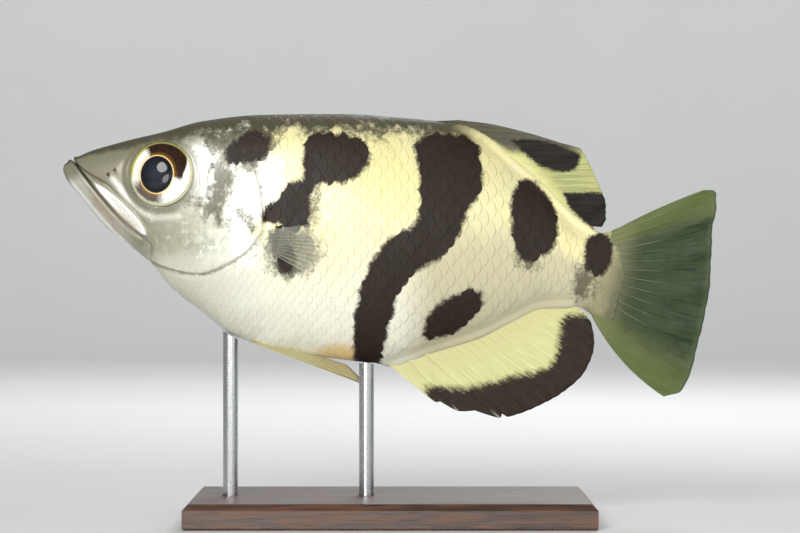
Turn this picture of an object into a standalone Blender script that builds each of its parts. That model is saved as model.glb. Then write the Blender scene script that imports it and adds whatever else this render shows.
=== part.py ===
"""Seven-spot archerfish, life size, as a still model held by two rods over a flat base.

Sizes are in millimetres and become metres where a mesh is made. +Z is up, the head points
to -X and the fish's left flank faces -Y. The origin is the centre of the base's underside.
"""
import math

import bmesh
import bpy
from mathutils import Matrix, Vector

MM = 0.001
GAP = 0.3

# Outline of head and trunk in the side view: back line, belly line, half width, and the
# height of the widest point, each as points (x, value) from the jaw tip to the tail base.
BACK = ((-65.4, 70.1), (-64.4, 71.3), (-62.7, 72.6), (-59.5, 73.9), (-55.0, 75.2), (-45.6, 77.7),
        (-37.3, 80.0), (-26.1, 81.2), (-10.0, 81.4), (1.9, 80.7), (9.9, 79.9), (14.9, 78.3),
        (19.9, 75.2), (24.9, 70.9), (30.1, 66.4), (33.9, 62.6), (37.5, 59.4), (41.5, 57.6),
        (48.0, 59.6))
BELLY = ((-65.4, 70.1), (-64.1, 67.4), (-61.9, 64.7), (-56.6, 58.3), (-51.0, 54.0), (-48.3, 51.6),
         (-44.0, 46.4), (-37.7, 41.4), (-31.6, 36.8), (-25.2, 34.6), (-12.1, 32.2), (-1.1, 31.2),
         (2.9, 32.2), (7.9, 34.0), (17.5, 37.0), (23.9, 40.2), (30.3, 43.0), (36.5, 43.2),
         (39.9, 41.0), (48.0, 34.0))
HALF_WIDTH = ((-65.4, 0.0), (-64.9, 1.2), (-64.1, 2.0), (-62.7, 3.0), (-60.1, 4.3), (-56.1, 5.7),
              (-52.1, 6.8), (-45.7, 8.0), (-38.1, 9.2), (-30.1, 10.0), (-20.1, 10.3), (-10.1, 10.0),
              (1.9, 8.9), (11.9, 7.4), (21.9, 5.6), (31.9, 3.7), (38.0, 2.5), (41.9, 1.9), (48.0, 1.2))
WIDEST = ((-65.4, 70.0), (-60.0, 68.6), (-50.0, 65.5), (-30.0, 64.0), (0.0, 61.0), (20.0, 56.0),
          (36.0, 51.5), (48.0, 49.0))
UPPER_ROUNDING = ((-65.4, 2.0), (-58.0, 2.6), (-30.0, 2.6), (8.0, 2.0), (20.0, 1.8), (48.0, 2.2))
LOWER_ROUNDING = ((-65.4, 2.0), (-50.0, 2.0), (-30.0, 2.1), (0.0, 2.0), (15.0, 1.8), (48.0, 2.2))
BODY_STATIONS = 40
BODY_SIDES = 28
STATION_CROWDING = 1.4

# The thin cuts that part the body: the line of the mouth down to the jaw joint and throat,
# the rear edge of the gill covers, the edge of the cheek plate, and two cuts in the tail.
MOUTH_CUT = ((-66.5, 74.6), (-63.4, 72.2), (-60.0, 70.0), (-57.1, 66.9), (-55.4, 63.2), (-53.4, 60.0),
             (-51.0, 57.3), (-47.6, 55.2), (-48.6, 52.0), (-50.6, 48.0))
JAW_JOINT = 7
GILL_CUT = ((-32.4, 84.0), (-31.1, 80.8), (-28.3, 74.0), (-25.6, 66.0), (-24.9, 59.5), (-27.1, 54.6),
            (-32.5, 50.8), (-38.0, 49.1), (-43.9, 50.2), (-48.0, 52.0), (-52.0, 54.6))
CHEEK_EDGE = ((-26.0, 73.4), (-30.0, 73.6), (-34.3, 72.2), (-36.6, 68.0), (-36.5, 62.0), (-36.9, 56.5),
              (-38.9, 51.6), (-40.9, 46.0))
CHEEK_BACK = [(-20.0, 46.0), (-20.0, 73.4)]
COVER_DEPTH = 3.6
TAIL_CUT = ((20.0, 88.0), (22.5, 28.0))
FIN_BASE_CUT = ((45.2, 62.0), (38.9, 38.0))

# Eye: a flattened lens in a round socket, turned a little forwards and upwards.
EYE_CENTRE = (-45.6, 69.1)
EYE_RADIUS = 6.6
EYE_BULGE = 2.3
EYE_SINK = 0.7
EYE_DEPTH = 4.0
EYE_TURN = 10.0
EYE_LIFT = 7.0
RIM_RADIUS = 0.55
LIP_RADIUS = 0.5
LIP_OFFSET = 1.0
LIP_SINK = 0.12
JAW_PLATE_OFFSET = 2.1
JAW_PLATE_RADII = (0.7, 1.0, 1.2, 1.25, 1.1, 0.7)
JAW_PLATE_FLATNESS = 0.4
NOSTRILS = (((-56.0, 68.9), 0.5), ((-54.3, 70.1), 0.4))

# Fins. A row is (ray number, root x, root z, edge x, edge z), for some rays from first to last.
DORSAL = ((0, 8.0, 79.7, 13.5, 80.0), (1, 10.5, 79.4, 19.5, 79.3), (2, 13.2, 78.6, 24.5, 78.2),
          (3, 16.0, 77.5, 29.0, 77.0), (4, 18.6, 76.0, 33.5, 75.6), (5, 21.5, 73.8, 38.0, 74.2),
          (8, 25.6, 70.2, 40.1, 70.6), (11, 29.4, 66.9, 41.8, 66.9), (14, 33.4, 62.9, 43.1, 62.8),
          (16, 36.4, 60.3, 43.1, 60.2), (17, 38.8, 58.8, 42.3, 58.6))
DORSAL_SPINES = 5
ANAL = ((0, -0.6, 31.3, 8.7, 23.7), (1, 3.4, 32.4, 13.5, 21.8), (2, 6.6, 33.6, 21.8, 20.4),
        (3, 9.0, 34.4, 24.3, 20.8), (6, 13.5, 35.8, 30.0, 23.0), (9, 18.5, 37.4, 35.0, 25.9),
        (12, 23.9, 40.1, 39.2, 30.2), (15, 29.5, 42.6, 40.8, 35.4), (17, 33.3, 43.1, 40.2, 39.3),
        (18, 36.2, 43.1, 38.6, 41.6))
ANAL_SPINES = 3
ANAL_NOTCH = 1.5
CAUDAL_ROOT = (57.7, 41.3)
CAUDAL_EDGE = ((0, 64.6, 66.1), (2, 64.9, 62.4), (4, 64.4, 58.2), (6, 64.2, 53.0), (8, 63.9, 47.0),
               (10, 62.8, 40.6), (12, 61.4, 34.8), (14, 59.4, 29.0), (15, 58.2, 26.4), (16, 56.6, 24.7))
CAUDAL_BOW = (0.4, -1.5)
PECTORAL = ((0, -24.7, 57.8, 0.0, 61.0), (3, -24.6, 56.8, -1.8, 58.0), (6, -24.5, 55.8, -5.8, 54.4),
            (9, -24.4, 54.8, -10.6, 51.2), (12, -24.3, 53.8, -15.6, 48.9))
PELVIC = ((0, -25.9, 34.9, -6.2, 27.6), (1, -25.5, 35.1, -6.3, 28.3), (3, -24.5, 35.5, -9.6, 30.0),
          (5, -23.6, 35.9, -14.6, 32.2))
RAY_RISE = 0.22
SPINE_RISE = 0.34
RAY_FOOT = 0.3
MARGIN_HALF = 0.26
FIN_ROOT_HALF = 1.1
PAIRED_ROOT_HALF = 0.7
ROOT_SINK = 2.2
PECTORAL_OUT = 9.3
PELVIC_OUT = 2.6

# Stand: a bevelled wooden base and two steel rods up to the belly.
BASE_SIZE = (80.0, 44.0, 5.0)
BASE_BEVEL = 1.2
ROD_RADIUS = 1.5
ROD_PLACES = (("front", -32.0), ("rear", -4.8))
ROD_SOCKET = 3.0


def along(points, x, column=1):
    """Smooth value at x of one column of rows (x, value, ...), as cubics between the rows."""
    rows = [(row[0], row[column]) for row in points]
    if x <= rows[0][0]:
        return rows[0][1]
    if x >= rows[-1][0]:
        return rows[-1][1]
    steps = [(b[1] - a[1]) / (b[0] - a[0]) for a, b in zip(rows, rows[1:])]
    slopes = [steps[0]]
    for first, second in zip(steps, steps[1:]):
        turning = first * second <= 0.0
        slopes.append(0.0 if turning else 2.0 * first * second / (first + second))
    slopes.append(steps[-1])
    i = max(k for k in range(len(rows) - 1) if rows[k][0] <= x)
    (x0, v0), (x1, v1) = rows[i], rows[i + 1]
    width = x1 - x0
    t = (x - x0) / width
    return ((1 + 2 * t) * (1 - t) ** 2 * v0 + t * (1 - t) ** 2 * width * slopes[i]
            + t * t * (3 - 2 * t) * v1 + t * t * (t - 1) * width * slopes[i + 1])


def flank(x, z):
    """Half width of the body at a point of the side view, or 0 outside its outline."""
    middle = along(WIDEST, x)
    upper = z >= middle
    reach = (along(BACK, x) - middle) if upper else (middle - along(BELLY, x))
    power = along(UPPER_ROUNDING if upper else LOWER_ROUNDING, x)
    share = min(abs(z - middle) / max(reach, 0.01), 1.0)
    return along(HALF_WIDTH, x) * (1.0 - share ** power) ** (1.0 / power)


def mesh_object(name, vertices, faces):
    """Object from millimetre vertices, triangulated, with its faces turned outwards."""
    shape = bmesh.new()
    made = [shape.verts.new(Vector(v) * MM) for v in vertices]
    for face in faces:
        shape.faces.new([made[i] for i in face])
    bmesh.ops.triangulate(shape, faces=shape.faces[:])
    bmesh.ops.recalc_face_normals(shape, faces=shape.faces[:])
    mesh = bpy.data.meshes.new(name)
    shape.to_mesh(mesh)
    shape.free()
    piece = bpy.data.objects.new(name, mesh)
    bpy.context.scene.collection.objects.link(piece)
    return piece


def loft(name, rings, closed=False):
    """Solid skin over rings of equal count: capped at both ends, or closed on itself."""
    count = len(rings[0])
    vertices = [v for ring in rings for v in ring]
    faces = []
    spans = len(rings) if closed else len(rings) - 1
    for i in range(spans):
        a, b = i * count, (i + 1) % len(rings) * count
        for j in range(count):
            k = (j + 1) % count
            faces.append((a + j, a + k, b + k, b + j))
    if not closed:
        faces.append(tuple(range(count)))
        faces.append(tuple(range(len(vertices) - count, len(vertices))))
    return mesh_object(name, vertices, faces)


def prism(name, outline, near, far):
    """Outline of (x, z) points extruded along Y from near to far."""
    return loft(name, [[(x, y, z) for x, z in outline] for y in (near, far)])


def offset_line(points, distance):
    """Open line moved sideways by distance, mitred at its corners."""
    moved = []
    for i, point in enumerate(points):
        before = Vector(points[max(i - 1, 0)])
        after = Vector(points[min(i + 1, len(points) - 1)])
        here = Vector(point)
        first = (here - before).normalized() if i else (after - here).normalized()
        second = (after - here).normalized() if i < len(points) - 1 else first
        middle = (first + second).normalized()
        side = Vector((-middle.y, middle.x))
        moved.append(tuple(here + side * distance / max(middle.dot(first), 0.5)))
    return moved


def smooth_path(points, spans=3):
    """Points of a smooth curve through the given ones, with spans pieces between each two."""
    ends = [Vector(p) for p in points]
    ends = [2 * ends[0] - ends[1]] + ends + [2 * ends[-1] - ends[-2]]
    path = []
    for a, b, c, d in zip(ends, ends[1:], ends[2:], ends[3:]):
        for k in range(spans):
            t = k / spans
            path.append(tuple(0.5 * (2 * b + (c - a) * t + (2 * a - 5 * b + 4 * c - d) * t ** 2
                                     + (3 * b - a - 3 * c + d) * t ** 3)))
    return path + [tuple(points[-1])]


def ribbon(name, line, width):
    """Cutter that follows a line of the side view, as thick as width, through the body."""
    outline = offset_line(line, width / 2) + offset_line(line, -width / 2)[::-1]
    return prism(name, outline, -16.0, 16.0)


def remove(piece):
    """Take a piece and its mesh out of the scene."""
    mesh = piece.data
    bpy.data.objects.remove(piece)
    bpy.data.meshes.remove(mesh)


def is_closed(mesh):
    """True if a mesh has faces and each of its edges joins two of them."""
    shape = bmesh.new()
    shape.from_mesh(mesh)
    closed = len(shape.faces) > 0 and all(edge.is_manifold for edge in shape.edges)
    shape.free()
    return closed


def apply_boolean(piece, modifier):
    """Apply a Boolean, by the manifold solver where the exact one leaves no closed mesh."""
    for solver in ("EXACT", "MANIFOLD"):
        modifier.solver = solver
        graph = bpy.context.evaluated_depsgraph_get()
        result = bpy.data.meshes.new_from_object(piece.evaluated_get(graph))
        if is_closed(result):
            break
    piece.modifiers.clear()
    old = piece.data
    piece.data = result
    bpy.data.meshes.remove(old)


def combine(piece, other, operation, keep_other=False):
    """Apply a Boolean of piece with other, which may be kept for a later use."""
    modifier = piece.modifiers.new("Combine", "BOOLEAN")
    modifier.operation = operation
    modifier.object = other
    apply_boolean(piece, modifier)
    if not keep_other:
        remove(other)


def fuse(piece, others):
    """Apply one Boolean union of piece with a collection of closed pieces."""
    group = bpy.data.collections.new("Fused")
    for other in others:
        group.objects.link(other)
    modifier = piece.modifiers.new("Fuse", "BOOLEAN")
    modifier.operation = "UNION"
    modifier.operand_type = "COLLECTION"
    modifier.collection = group
    apply_boolean(piece, modifier)
    bpy.data.collections.remove(group)
    for other in others:
        remove(other)


def shells(mesh):
    """Vertex index sets of a mesh's separate closed surfaces, the largest first."""
    shape = bmesh.new()
    shape.from_mesh(mesh)
    shape.verts.ensure_lookup_table()
    seen = set()
    found = []
    for start in shape.verts:
        if start.index in seen:
            continue
        group = {start.index}
        queue = [start]
        while queue:
            for edge in queue.pop().link_edges:
                for vertex in edge.verts:
                    if vertex.index not in group:
                        group.add(vertex.index)
                        queue.append(vertex)
        seen |= group
        found.append(group)
    shape.free()
    return sorted(found, key=len, reverse=True)


def keep_shell(piece, group, merge=0.0005):
    """Reduce a piece to one of its closed surfaces and merge its hair-thin edges."""
    shape = bmesh.new()
    shape.from_mesh(piece.data)
    shape.verts.ensure_lookup_table()
    bmesh.ops.delete(shape, geom=[v for v in shape.verts if v.index not in group], context="VERTS")
    bmesh.ops.remove_doubles(shape, verts=shape.verts[:], dist=merge * MM)
    bmesh.ops.dissolve_degenerate(shape, edges=shape.edges[:], dist=merge * MM)
    bmesh.ops.triangulate(shape, faces=shape.faces[:])
    shape.to_mesh(piece.data)
    shape.free()


def keep_largest(piece):
    """Reduce a piece to its largest closed surface."""
    keep_shell(piece, shells(piece.data)[0])


def body_loft(name, swell):
    """Head and trunk in one closed form, grown outwards by swell."""
    start, end = BACK[0][0], BACK[-1][0]
    rings = []
    for i in range(BODY_STATIONS + 1):
        x = start + (end - start) * (i / BODY_STATIONS) ** STATION_CROWDING
        middle = along(WIDEST, x)
        half = along(HALF_WIDTH, x) + swell
        ring = []
        for j in range(BODY_SIDES):
            angle = 2 * math.pi * (j + 0.5) / BODY_SIDES
            upper = math.sin(angle) > 0
            power = along(UPPER_ROUNDING if upper else LOWER_ROUNDING, x)
            reach = (along(BACK, x) - middle) if upper else (middle - along(BELLY, x))
            across = math.copysign(abs(math.cos(angle)) ** (2 / power), math.cos(angle))
            height = math.copysign(abs(math.sin(angle)) ** (2 / power), math.sin(angle))
            ring.append((x, half * across, middle + (max(reach, 0.0) + swell) * height))
        rings.append(ring)
    first = [(x - swell, y, z) for x, y, z in rings[0]]
    if swell:
        rings.insert(0, first)
    else:
        centre = (start, 0.0, along(WIDEST, start))
        rings[0] = [tuple(Vector(centre) + (Vector(v) - Vector(centre)) * 0.3) for v in rings[1]]
        rings[0] = [(start, y, z) for x, y, z in rings[0]]
    return loft(name, rings)


def part_body(body):
    """Cut the whole body along its thin lines and give each piece its name."""
    mouth = smooth_path(MOUTH_CUT[:JAW_JOINT + 1]) + list(MOUTH_CUT[JAW_JOINT + 1:])
    for line in (mouth, smooth_path(GILL_CUT), TAIL_CUT, FIN_BASE_CUT):
        combine(body, ribbon("thin_cut", line, GAP), "DIFFERENCE")
    marks = {"lower_jaw": (-58.0, 62.5), "head": (-45.0, 64.0), "trunk": (-8.0, 58.0),
             "tail_stem": (33.0, 52.0)}
    groups = shells(body.data)
    pieces = {}
    for name, (x, z) in marks.items():
        spread = {}
        for k, group in enumerate(groups):
            points = [body.data.vertices[i].co / MM for i in group]
            if min(p.x for p in points) <= x <= max(p.x for p in points):
                spread[k] = min(math.hypot(p.x - x, p.z - z) for p in points)
        nearest = min(spread, key=spread.get)
        piece = bpy.data.objects.new(name, body.data.copy())
        bpy.context.scene.collection.objects.link(piece)
        keep_shell(piece, groups[nearest])
        pieces[name] = piece
    remove(body)
    return pieces


def tube(name, path, radii, flatness=1.0, sides=6, closed=False):
    """Bead along a path, as rings square to it that don't twist, pressed flat along Y."""
    rings = []
    normal = Vector((0.0, 1.0, 0.0))
    for i, point in enumerate(path):
        before = Vector(path[i - 1] if closed or i else path[0])
        after = Vector(path[(i + 1) % len(path)] if closed or i < len(path) - 1 else path[-1])
        tangent = (after - before).normalized()
        normal = (normal - tangent * normal.dot(tangent)).normalized()
        across = tangent.cross(normal)
        ring = []
        for j in range(sides):
            angle = 2 * math.pi * j / sides
            turn = normal * math.cos(angle) * flatness + across * math.sin(angle)
            ring.append(Vector(point) + turn * radii[i])
        rings.append(ring)
    return loft(name, rings, closed)


def eye_frame(side):
    """Place and turn of an eye: local +Z looks out along its axis."""
    x, z = EYE_CENTRE
    out = flank(x, z) - EYE_SINK
    axis = Vector((-math.sin(math.radians(EYE_TURN)), side, math.sin(math.radians(EYE_LIFT)))).normalized()
    turn = axis.to_track_quat("Z", "Y").to_matrix().to_4x4()
    return Matrix.Translation(Vector((x, side * out, z))) @ turn


def lathe(name, profile, frame, sides=24):
    """Closed turned form from (radius, height) points that start and end on the axis."""
    rings = []
    for radius, height in profile[1:-1]:
        ring = []
        for j in range(sides):
            angle = 2 * math.pi * j / sides
            ring.append(frame @ Vector((radius * math.cos(angle), radius * math.sin(angle), height)))
        rings.append(ring)
    vertices = [frame @ Vector((0, 0, profile[0][1]))] + [v for ring in rings for v in ring]
    vertices.append(frame @ Vector((0, 0, profile[-1][1])))
    faces = []
    for j in range(sides):
        k = (j + 1) % sides
        faces.append((0, 1 + j, 1 + k))
        last = 1 + (len(rings) - 1) * sides
        faces.append((len(vertices) - 1, last + j, last + k))
        for i in range(len(rings) - 1):
            a = 1 + i * sides
            faces.append((a + j, a + k, a + sides + k, a + sides + j))
    return mesh_object(name, vertices, faces)


def make_eye(name, side):
    """Eye with a domed front and a flat back."""
    dome = (EYE_RADIUS ** 2 + EYE_BULGE ** 2) / (2 * EYE_BULGE)
    steps = 5
    profile = [(0.0, EYE_BULGE)]
    limit = math.asin(EYE_RADIUS / dome)
    for i in range(1, steps + 1):
        angle = limit * i / steps
        profile.append((dome * math.sin(angle), EYE_BULGE - dome * (1 - math.cos(angle))))
    profile += [(EYE_RADIUS, -EYE_DEPTH), (0.0, -EYE_DEPTH)]
    return lathe(name, profile, eye_frame(side))


def socket(side):
    """Round hole for an eye, wider and deeper than it by the gap."""
    radius = EYE_RADIUS + GAP
    profile = [(0.0, 8.0), (radius, 8.0), (radius, -EYE_DEPTH - GAP), (0.0, -EYE_DEPTH - GAP)]
    return lathe("socket", profile, eye_frame(side))


def orbit_rim(side):
    """Raised ring of skin round an eye, laid on the head's surface."""
    x, z = EYE_CENTRE
    radius = EYE_RADIUS + GAP + 0.35
    path = []
    for j in range(24):
        angle = 2 * math.pi * j / 24
        px, pz = x + radius * math.cos(angle), z + radius * math.sin(angle)
        path.append((px, side * flank(px, pz), pz))
    return tube("orbit_rim", path, [RIM_RADIUS] * len(path), closed=True)


def lip(name, distance):
    """Bead round the mouth, at a distance above or below its line."""
    half = []
    line = offset_line(MOUTH_CUT[1:JAW_JOINT + 1], distance)
    for (x0, z0), (x1, z1) in zip(line, line[1:]):
        for t in (0.2, 0.6, 1.0):
            x, z = x0 + (x1 - x0) * t, z0 + (z1 - z0) * t
            half.append((x, flank(x, z) - LIP_SINK, z))
    front = half[0][0] - 0.5
    tip = [(front, 0.0, along(BACK, front) - LIP_SINK)]
    path = [(x, -y, z) for x, y, z in half[::-1]] + tip + half
    return tube(name, path, [LIP_RADIUS] * len(path))


def jaw_plate(side):
    """Flat upper jaw bone that lies along the rear half of the mouth."""
    line = offset_line(MOUTH_CUT[2:JAW_JOINT + 1], JAW_PLATE_OFFSET)
    path = [(x, side * (flank(x, z) - LIP_SINK), z) for x, z in line]
    return tube("jaw_plate", path, JAW_PLATE_RADII, JAW_PLATE_FLATNESS)


def finish_head(head):
    """Add orbit rims, upper lip and jaw bones to the head, then its sockets and nostrils."""
    fuse(head, [orbit_rim(-1), orbit_rim(1), lip("upper_lip", LIP_OFFSET), jaw_plate(-1), jaw_plate(1)])
    for side in (-1, 1):
        combine(head, socket(side), "DIFFERENCE")
        for (x, z), radius in NOSTRILS:
            place = Matrix.Translation(Vector((x, side * flank(x, z), z)))
            ball = [(0.0, radius)]
            ball += [(radius * math.sin(a), radius * math.cos(a)) for a in (0.8, 1.6, 2.4)]
            ball.append((0.0, -radius))
            combine(head, lathe("nostril", ball, place, 8), "DIFFERENCE")
    keep_largest(head)


def gill_covers(head):
    """Part a gill cover from each cheek, as a plate as deep as COVER_DEPTH."""
    edge = smooth_path(CHEEK_EDGE)
    inner = offset_line(edge, GAP)
    covers = []
    for side, label in ((-1, "left"), (1, "right")):
        bed = side * (flank(*EYE_CENTRE) + 2.0 - COVER_DEPTH)
        cover = bpy.data.objects.new("gill_cover_" + label, head.data.copy())
        bpy.context.scene.collection.objects.link(cover)
        region = prism("cover_region", inner + CHEEK_BACK, bed + side * GAP, side * 16.0)
        combine(cover, region, "INTERSECT")
        keep_largest(cover)
        combine(head, prism("cover_bed", edge + CHEEK_BACK, bed, side * 16.0), "DIFFERENCE")
        covers.append(cover)
    keep_largest(head)
    return covers


def ray_columns(outline, spines):
    """(ray place, rise) of the mesh lines across a fin: each ray's crest between its feet."""
    last = outline[-1][0]
    columns = []
    for ray in range(last + 1):
        rise = SPINE_RISE if ray < spines else RAY_RISE
        for place, lift in ((ray - RAY_FOOT, 0.0), (ray, rise), (ray + RAY_FOOT, 0.0)):
            if 0 <= place <= last:
                columns.append((place, lift))
    return columns


def caudal_outline():
    """Rows of the tail fin's outline, with its root just behind the cut across the tail."""
    (x0, z0), (x1, z1) = FIN_BASE_CUT
    last = CAUDAL_EDGE[-1][0]
    rows = []
    for ray, x, z in CAUDAL_EDGE:
        root_z = CAUDAL_ROOT[0] + (CAUDAL_ROOT[1] - CAUDAL_ROOT[0]) * ray / last
        root_x = x0 + (x1 - x0) * (z0 - root_z) / (z0 - z1) + GAP * 0.55
        rows.append((ray, root_x, root_z, x, z))
    return rows


def fin(name, outline, rows, root_half, centre, sink=ROOT_SINK, spines=0, notch=0.0, bow=(0.0, 0.0)):
    """Thin fin between its root line and its edge, with its rays raised in both faces.

    root_half(x, z) is its half thickness at the root and centre(x, z) the Y of its middle
    surface. notch draws the edge back between spines, and bow bends the first and last rays.
    Both faces are split into triangles alike.
    """
    near, far = [], []
    columns = ray_columns(outline, spines)
    for place, lift in columns:
        root = Vector((along(outline, place, 1), along(outline, place, 2)))
        edge = Vector((along(outline, place, 3), along(outline, place, 4)))
        way = (edge - root).normalized()
        if lift == 0.0 and place < spines:
            edge -= way * notch
        side = Vector((-way.y, way.x)) * (bow[0] + (bow[1] - bow[0]) * place / outline[-1][0])
        thick = root_half(root.x, root.y)
        for j in range(rows + 1):
            v = (j - 1) / (rows - 1) if sink else j / rows
            point = root.lerp(edge, v) + side * 4 * v * (1 - v) if v >= 0 else root - way * sink
            share = max(v, 0.0)
            half = thick + (MARGIN_HALF - thick) * (1 - (1 - share) ** 2.2) + lift * (1 - 0.6 * share)
            y = centre(point.x, point.y)
            near.append((point.x, y - half, point.y))
            far.append((point.x, y + half, point.y))
    count = len(columns)
    line = rows + 1
    shift = len(near)
    faces = []
    for i in range(count - 1):
        for j in range(rows):
            a, b = i * line + j, (i + 1) * line + j
            for triangle in ((a, b, b + 1), (a, b + 1, a + 1)):
                faces.append(triangle)
                faces.append(tuple(shift + k for k in triangle[::-1]))
    rim = [i * line for i in range(count)]
    rim += [(count - 1) * line + j for j in range(1, line)]
    rim += [i * line + rows for i in range(count - 2, -1, -1)]
    rim += [j for j in range(rows - 1, 0, -1)]
    for a, b in zip(rim, rim[1:] + rim[:1]):
        faces.append((a, shift + a, shift + b))
        faces.append((a, shift + b, b))
    return mesh_object(name, near + far, faces)


def median_fins():
    """Dorsal, anal and tail fins, which stand on the body's middle plane."""
    def flat(x, z):
        return 0.0

    def fleshy(x, z):
        return FIN_ROOT_HALF

    def tail_root(x, z):
        return max(flank(x, z), MARGIN_HALF + 0.1)

    return [fin("dorsal_fin", DORSAL, 6, fleshy, flat, spines=DORSAL_SPINES),
            fin("anal_fin", ANAL, 6, fleshy, flat, spines=ANAL_SPINES, notch=ANAL_NOTCH),
            fin("caudal_fin", caudal_outline(), 8, tail_root, flat, sink=0.0, bow=CAUDAL_BOW)]


def paired_fins(side, label):
    """Pectoral and pelvic fin of one side, leaning away from the body towards their tips."""
    def pectoral_centre(x, z):
        back = x - PECTORAL[0][1]
        return side * (PECTORAL_OUT + 2.6 * (1 - math.exp(-max(back, -3.0) / 5.0)) + 0.06 * back)

    def pelvic_centre(x, z):
        back = (x - PELVIC[0][1]) / 19.0
        middle = 35.0 - 7.0 * back
        return side * (PELVIC_OUT + 1.8 * back - 1.1 * (z - middle))

    def paired_root(x, z):
        return PAIRED_ROOT_HALF

    return [fin("pectoral_fin_" + label, PECTORAL, 7, paired_root, pectoral_centre),
            fin("pelvic_fin_" + label, PELVIC, 6, paired_root, pelvic_centre, spines=1)]


def make_stand():
    """Base with a bevelled edge and two blind holes, and a rod in each."""
    length, depth, height = BASE_SIZE
    rings = []
    for z, inset in ((0.0, 0.4), (0.4, 0.0), (height - BASE_BEVEL, 0.0), (height, BASE_BEVEL)):
        x, y = length / 2 - inset, depth / 2 - inset
        rings.append([(-x, -y, z), (x, -y, z), (x, y, z), (-x, y, z)])
    base = loft("stand_base", rings)
    rods = []
    for label, x in ROD_PLACES:
        place = Matrix.Translation(Vector((x, 0, 0)))
        floor = height - ROD_SOCKET
        hole = [(0.0, height + 2), (ROD_RADIUS + GAP, height + 2), (ROD_RADIUS + GAP, floor), (0.0, floor)]
        combine(base, lathe("rod_hole", hole, place, 20), "DIFFERENCE")
        top = along(BELLY, x) + 6.0
        profile = [(0.0, top), (ROD_RADIUS, top), (ROD_RADIUS, floor + GAP), (0.0, floor + GAP)]
        rods.append(lathe("stand_rod_" + label, profile, place, 20))
    return base, rods


def finish(piece, colour, roughness, metallic=0.0):
    """Give a piece its own material and smooth shading broken at sharp edges."""
    material = bpy.data.materials.new(piece.name)
    material.use_nodes = True
    shader = material.node_tree.nodes["Principled BSDF"]
    shader.inputs["Base Color"].default_value = (*colour, 1.0)
    shader.inputs["Roughness"].default_value = roughness
    shader.inputs["Metallic"].default_value = metallic
    piece.data.materials.clear()
    piece.data.materials.append(material)
    piece.data.shade_smooth()
    piece.data.set_sharp_from_angle(angle=math.radians(35))


def build():
    """Make every piece of the fish and its stand."""
    for old in list(bpy.data.objects):
        bpy.data.objects.remove(old)
    pieces = part_body(body_loft("body", 0.0))
    finish_head(pieces["head"])
    fuse(pieces["lower_jaw"], [lip("lower_lip", -LIP_OFFSET)])
    keep_largest(pieces["lower_jaw"])
    covers = gill_covers(pieces["head"])
    eyes = [make_eye("eye_left", -1), make_eye("eye_right", 1)]
    fins = median_fins() + paired_fins(-1, "left") + paired_fins(1, "right")
    base, rods = make_stand()
    around = body_loft("around", GAP)
    for piece in fins + rods:
        if piece.name != "caudal_fin":
            combine(piece, around, "DIFFERENCE", keep_other=True)
            keep_largest(piece)
    remove(around)
    skin = (0.72, 0.72, 0.55)
    for piece in (pieces["head"], pieces["lower_jaw"], *covers):
        finish(piece, (0.60, 0.62, 0.55), 0.35)
    for piece in (pieces["trunk"], pieces["tail_stem"]):
        finish(piece, skin, 0.35)
    for piece in eyes:
        finish(piece, (0.75, 0.74, 0.66), 0.08)
    for piece in fins:
        finish(piece, (0.24, 0.33, 0.21) if piece.name == "caudal_fin" else (0.62, 0.62, 0.42), 0.4)
    finish(base, (0.12, 0.07, 0.045), 0.45)
    for rod in rods:
        finish(rod, (0.6, 0.6, 0.6), 0.3, 1.0)


build()
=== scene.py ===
"""Looks of a seven-spot archerfish, a life-size still model on a stand.

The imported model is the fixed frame. Lengths here are in millimetres, in the frame's own axes: the head towards
-X, the left flank towards -Y and up along +Z. MM turns them into Blender's metres.
"""

import math

import bmesh
import bpy
import numpy as np
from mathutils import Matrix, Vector


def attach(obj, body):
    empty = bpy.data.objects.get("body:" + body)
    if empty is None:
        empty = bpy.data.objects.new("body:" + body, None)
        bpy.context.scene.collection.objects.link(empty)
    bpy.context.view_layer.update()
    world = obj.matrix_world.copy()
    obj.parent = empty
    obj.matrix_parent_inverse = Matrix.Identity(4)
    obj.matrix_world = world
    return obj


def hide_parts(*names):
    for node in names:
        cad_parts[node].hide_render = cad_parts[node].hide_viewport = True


MM = 0.001
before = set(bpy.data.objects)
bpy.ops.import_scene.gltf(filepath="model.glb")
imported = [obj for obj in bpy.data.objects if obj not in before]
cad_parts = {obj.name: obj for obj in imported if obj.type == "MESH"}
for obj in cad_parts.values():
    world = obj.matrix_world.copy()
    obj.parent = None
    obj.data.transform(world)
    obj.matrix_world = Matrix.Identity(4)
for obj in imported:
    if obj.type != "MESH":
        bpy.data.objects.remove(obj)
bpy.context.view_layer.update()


# Skin: one closed skin from the lips to the base of the tail fin, with the jaws, nostrils, eye sockets and gill
# covers worked into it, so that no seam shows. It lies under the scales and carries the same markings.

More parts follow.
